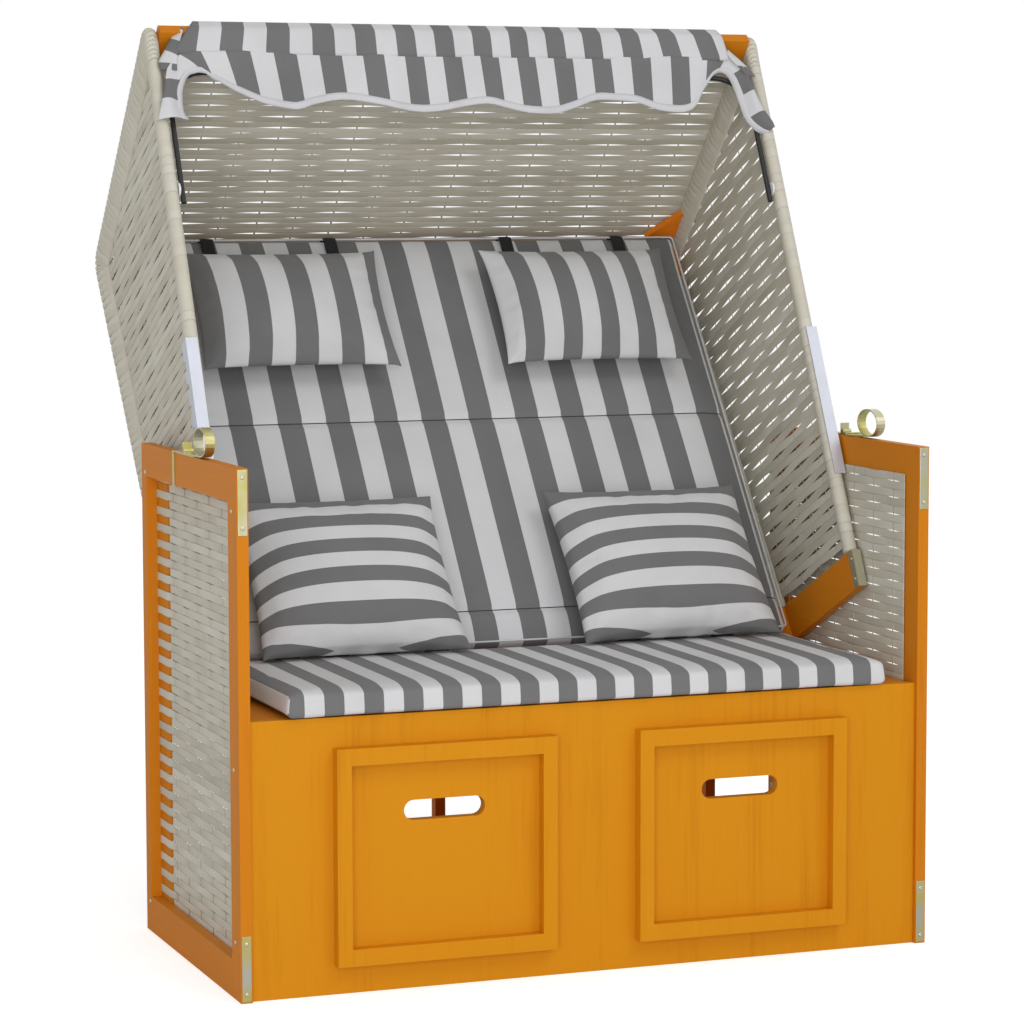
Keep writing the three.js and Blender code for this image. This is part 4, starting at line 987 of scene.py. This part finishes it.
def valance_cloth():
    """The valance in front of the bail, with its two ends over the bail's arms, and its piping.

    Every column of the sheet runs from an outer point to a point of the hem. The depth eases from
    the seam's to the bail's, and soft folds grow towards the hem.
    """
    x = np.linspace(-0.477, 0.453, 141)
    hem_x = np.interp(np.interp(x, BELOW_SEAM, EDGES), EDGES, AT_HEM)
    curve = smooth_path(HEM, 6)
    middle = np.stack([
        x, np.interp(x, *SEAM_LINE.T), hem_x, np.interp(hem_x, *curve.T),
        np.interp(x, BELOW_SEAM, EDGES), np.interp(hem_x, AT_HEM, EDGES),
    ], -1)
    left, right = smooth_path(LEFT_END, 5), smooth_path(RIGHT_END, 5)
    columns = np.concatenate([left, middle, right[1:]])
    count = len(columns)
    end_share = np.zeros(count)
    end_share[:len(left)] = np.clip(np.linspace(1.9, 0, len(left)), 0, 1)
    end_share[-len(right) + 1:] = np.clip(np.linspace(0, 1.9, len(right) - 1), 0, 1)
    share = np.linspace(0, 1, 19)[:, None]
    across = columns[:, 0] + (columns[:, 2] - columns[:, 0]) * share
    up = columns[:, 1] + (columns[:, 3] - columns[:, 1]) * share
    stripe = columns[:, 4] + (columns[:, 5] - columns[:, 4]) * share
    waves = 0.5 * np.sin(26 * across + 0.7) + 0.3 * np.sin(43 * across + 2) + 0.25 * np.sin(71 * across)
    depth_middle = -0.3125 + 0.021 * share ** 1.15 - 0.0035 * share * (1 + waves)
    depth_end = -0.3065 + 0.0145 * share ** 1.4 - 0.004 * np.sin(math.pi * share)
    depth_end = depth_end - 0.0025 * np.sin(36 * up + 6 * share)
    depth = depth_middle + (depth_end - depth_middle) * end_share
    points = hood(across, depth, up)
    sheet = ribbon("awning_valance_sheet", points, None, stripe)
    edge = points[-1]
    inner = points[-1] - points[-2]
    inner = inner / np.linalg.norm(inner, axis=1)[:, None]
    out = np.cross(np.gradient(edge, axis=0), inner)
    out = out / np.linalg.norm(out, axis=1)[:, None]
    ring = [(-0.0115, 0.0010), (-0.0055, 0.0017), (0.0005, 0.0013), (0.0015, 0.0), (0.0005, -0.0013),
            (-0.0055, -0.0017), (-0.0115, -0.0010)]
    vertices = np.stack([edge + a * inner + b * out for a, b in ring], 1)
    faces = bar_faces(count, len(ring))
    trim = new_piece("awning_valance_piping", vertices, faces, "piping", None)
    return sheet, trim


# The folded corners: outer edge, inner edge, and the stripe count along them
EARS = {
    "left": ([(-0.507, 1.011), (-0.523, 0.988), (-0.536, 0.966), (-0.549, 0.944), (-0.546, 0.930)],
             [(-0.500, 1.004), (-0.510, 0.977), (-0.517, 0.951), (-0.520, 0.936), (-0.521, 0.925)],
             [0.15, -1, -2, -3, -3.4]),
    "right": ([(0.481, 1.008), (0.499, 0.982), (0.520, 0.959), (0.534, 0.944), (0.543, 0.930)],
              [(0.478, 1.000), (0.490, 0.971), (0.497, 0.957), (0.510, 0.943), (0.521, 0.928)],
              [28, 29, 29.7, 30.1, 31]),
}


def ears():
    """The two corners of the upper cloth, folded back over the ends of the front beam."""
    made = []
    for label, (outer, inner, counts) in EARS.items():
        rows = smooth_path(np.column_stack([outer, inner, counts]), 6)
        share = np.linspace(0, 1, 7)
        across = rows[:, :1] + (rows[:, 2:3] - rows[:, :1]) * share
        up = rows[:, 1:2] + (rows[:, 3:4] - rows[:, 1:2]) * share
        depth = -0.3015 - 0.0095 * np.sin(0.5 * math.pi * share) - 0.002 * np.sin(60 * up)
        stripe = np.broadcast_to(rows[:, 4:], up.shape)
        made.append(ribbon(f"awning_{label}_corner", hood(across, depth, up), "hood", stripe))
    return made


# Metal fittings

def plate_box(low, high, bevel=0.0006):
    """A box between two corner points, with bevelled edges."""
    form = bmesh.new()
    bmesh.ops.create_cube(form, size=1.0)
    low, high = np.asarray(low), np.asarray(high)
    for vertex in form.verts:
        vertex.co = Vector((low + high) / 2 + np.array(vertex.co) * (high - low))
    bmesh.ops.bevel(form, geom=form.edges[:], offset=bevel, segments=2, profile=0.5, affect="EDGES")
    vertices = np.array([vertex.co[:] for vertex in form.verts])
    faces = [[vertex.index for vertex in face.verts] for face in form.faces]
    form.free()
    return vertices, faces


def screw_head(centre, axis, radius=0.0036):
    """A domed screw head: rings of falling radius up to its crown, with a small recess."""
    axis = np.asarray(axis, float)
    other = np.array([0, 0, 1.0]) if abs(axis[2]) < 0.5 else np.array([1.0, 0, 0])
    a = np.cross(axis, other)
    b = np.cross(axis, a)
    sides = 16
    angle = np.arange(sides) * math.pi / (sides // 2)
    rings = [(1, 0), (0.98, 0.18), (0.8, 0.36), (0.5, 0.46), (0.3, 0.48), (0.26, 0.2)]
    vertices = np.concatenate([
        centre + radius * (r * (np.cos(angle)[:, None] * a + np.sin(angle)[:, None] * b) + h * axis)
        for r, h in rings
    ])
    return vertices, bar_faces(len(rings), sides)


def fittings():
    """Zinc strips on the front posts, plates on the hood rails' ends, and the screws."""
    front, thick, inset = -0.4976, 0.0012, 0.012
    strip_inner, strip_outer, strip_middle = 0.5732, 0.5883, 0.58075
    for side, label in SIDES:
        strips, screws = [], []
        for low, high in ((0.002, 0.105), (0.725, 0.8265)):
            x = sorted((side * strip_inner, side * strip_outer))
            strips.append(plate_box((x[0], front - thick, low), (x[1], front - 0.0001, high)))
            for z in (low + inset, high - inset):
                centre = np.array([side * strip_middle, front - thick, z])
                screws.append(screw_head(centre, (0, -1, 0), 0.0034))
        for y, z in ((0.0554, 0.051), (0.0554, 0.78), (-0.4686, 0.09), (-0.4686, 0.36), (-0.4686, 0.76)):
            screws.append(screw_head(np.array([side * 0.59, y, z]), (side, 0, 0), 0.0038))
        vertices, faces = gather(strips)
        new_piece(f"{label}_post_strips", vertices, faces, "zinc", "base", smooth=False)
        vertices, faces = gather(screws)
        new_piece(f"{label}_base_screws", vertices, faces, "screw", "base")
        parts = []
        for low, high in (((0.5482, -0.2984, -0.033), (0.549, -0.281, 0.0326)),
                          ((0.5482, -0.2984, -0.033), (0.5638, -0.2976, 0.0326)),
                          ((0.5633, -0.2984, -0.033), (0.5641, -0.281, 0.0326))):
            vertices, faces = plate_box(low, high, 0.0003)
            parts.append((hood(side * vertices[:, 0], vertices[:, 1], vertices[:, 2]), faces))
        for y in (0.018, -0.018):
            spot = hood(side * 0.5482, -0.2895, y)
            parts.append(screw_head(spot, (-side, 0, 0), 0.003))
        vertices, faces = gather(parts)
        new_piece(f"{label}_rail_end_plate", vertices, faces, "screw", "hood", smooth=False)


def dress_nodes():
    """Better finishes for the CAD nodes that stay in view."""
    finishes = {
        "front_wood": ("front_panel", "footrest_front"),
        "wood_x": ("rear_top_rail", "rear_bottom_rail", "seat_deck", "front_guide_batten",
                   "rear_guide_batten", "hood_front_beam", "hood_rear_beam", "hood_foot_beam",
                   "back_support_rail"),
        "wood_y": ("top_rail", "bottom_rail", "seat_bearer", "hood_rail", "footrest_top"),
        "wood_z": ("front_post", "rear_post", "side_lath"),
        # The footrest frames and hood gussets take the copy of the wood with painted shade and bounce
        # light.
        "reveal_wood_painted_shade": ("footrest_inner_frame", "footrest_outer_frame", "hood_gusset"),
        "zinc": ("pivot_plate", "latch_bracket", "latch_lever"),
        "rack": ("latch_rack",),
        "black": ("awning_bail",),
        "plastic": ("awning_clip",),
    }
    look_of = {part: look for look, parts in finishes.items() for part in parts}
    for name, node in nodes.items():
        part = name.removeprefix("left_").removeprefix("right_")
        if part in look_of:
            for held in node.material_slots:
                held.material = looks[look_of[part]]


# Studio

def studio():
    """A pale floor, a world that is white to the eye but dimmer as a light, and two soft lamps.

    The key lamp stands high on the right of the front, the broad front lamp low on its left.
    """
    scene = bpy.context.scene
    world = bpy.data.worlds.new("studio")
    scene.world = world
    world.use_nodes = True
    tree = world.node_tree
    tree.nodes.clear()
    rays = tree.nodes.new("ShaderNodeLightPath").outputs
    seen = rays["Is Camera Ray"]
    for kind in ("Is Glossy Ray", "Is Transmission Ray"):
        either = tree.nodes.new("ShaderNodeMath")
        either.operation = "MAXIMUM"
        tree.links.new(seen, either.inputs[0])
        tree.links.new(rays[kind], either.inputs[1])
        seen = either.outputs[0]
    mix = tree.nodes.new("ShaderNodeMixShader")
    tree.links.new(seen, mix.inputs[0])
    as_light, to_the_eye = 0.57, 1.0
    for socket, strength in ((1, as_light), (2, to_the_eye)):
        white = tree.nodes.new("ShaderNodeBackground")
        white.inputs["Color"].default_value = (1, 1, 1, 1)
        white.inputs["Strength"].default_value = strength
        tree.links.new(white.outputs[0], mix.inputs[socket])
    out = tree.nodes.new("ShaderNodeOutputWorld")
    tree.links.new(mix.outputs[0], out.inputs["Surface"])
    floor_look = Look("floor", Roughness=0.9, Specular_IOR_Level=0.1)
    light = floor_look.node("LightPath")
    floor_look.shader.inputs["Base Color"].default_value = (0.86, 0.86, 0.86, 1)
    glow = floor_look.sum("MULTIPLY", light.outputs["Is Camera Ray"], 0.55)
    floor_look.shader.inputs["Emission Color"].default_value = (1, 1, 1, 1)
    floor_look.tree.links.new(glow, floor_look.shader.inputs["Emission Strength"])
    mesh = bpy.data.meshes.new("floor")
    reach, level = 9, -0.0006
    corners = [(x * reach, y * reach, level) for x, y in ((-1, -1), (1, -1), (1, 1), (-1, 1))]
    mesh.from_pydata(corners, [], [(0, 1, 2, 3)])
    mesh.materials.append(floor_look.finish())
    floor = bpy.data.objects.new("floor", mesh)
    scene.collection.objects.link(floor)
    for name, place, size, power in (
            ("key", (1.6, -3.6, 4.4), 2.2, 45), ("front", (-2.0, -5.2, 1.1), 3.2, 112)):
        data = bpy.data.lights.new(name, "AREA")
        data.shape = "DISK"
        data.size = size
        data.energy = power
        lamp = bpy.data.objects.new(name, data)
        scene.collection.objects.link(lamp)
        aim = Vector((0, -0.1, 0.75)) - Vector(place)
        lamp.matrix_world = Matrix.Translation(place) @ aim.to_track_quat("-Z", "Y").to_matrix().to_4x4()
    scene.view_settings.view_transform = "Standard"


place_camera()
dress_nodes()
base_weaves()
hood_weaves()
hood_bands()
cushions()
pillows()
straps()
cloth = roof_cloth()
valance, valance_trim = valance_cloth()
corners = ears()
for piece in (valance, valance_trim):
    hood(0.0, -0.3125, 0.9665)
    hood(0.0, -0.3105, 0.938)
    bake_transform(piece)
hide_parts("awning_cloth")
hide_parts("awning_valance")
fittings()
studio()
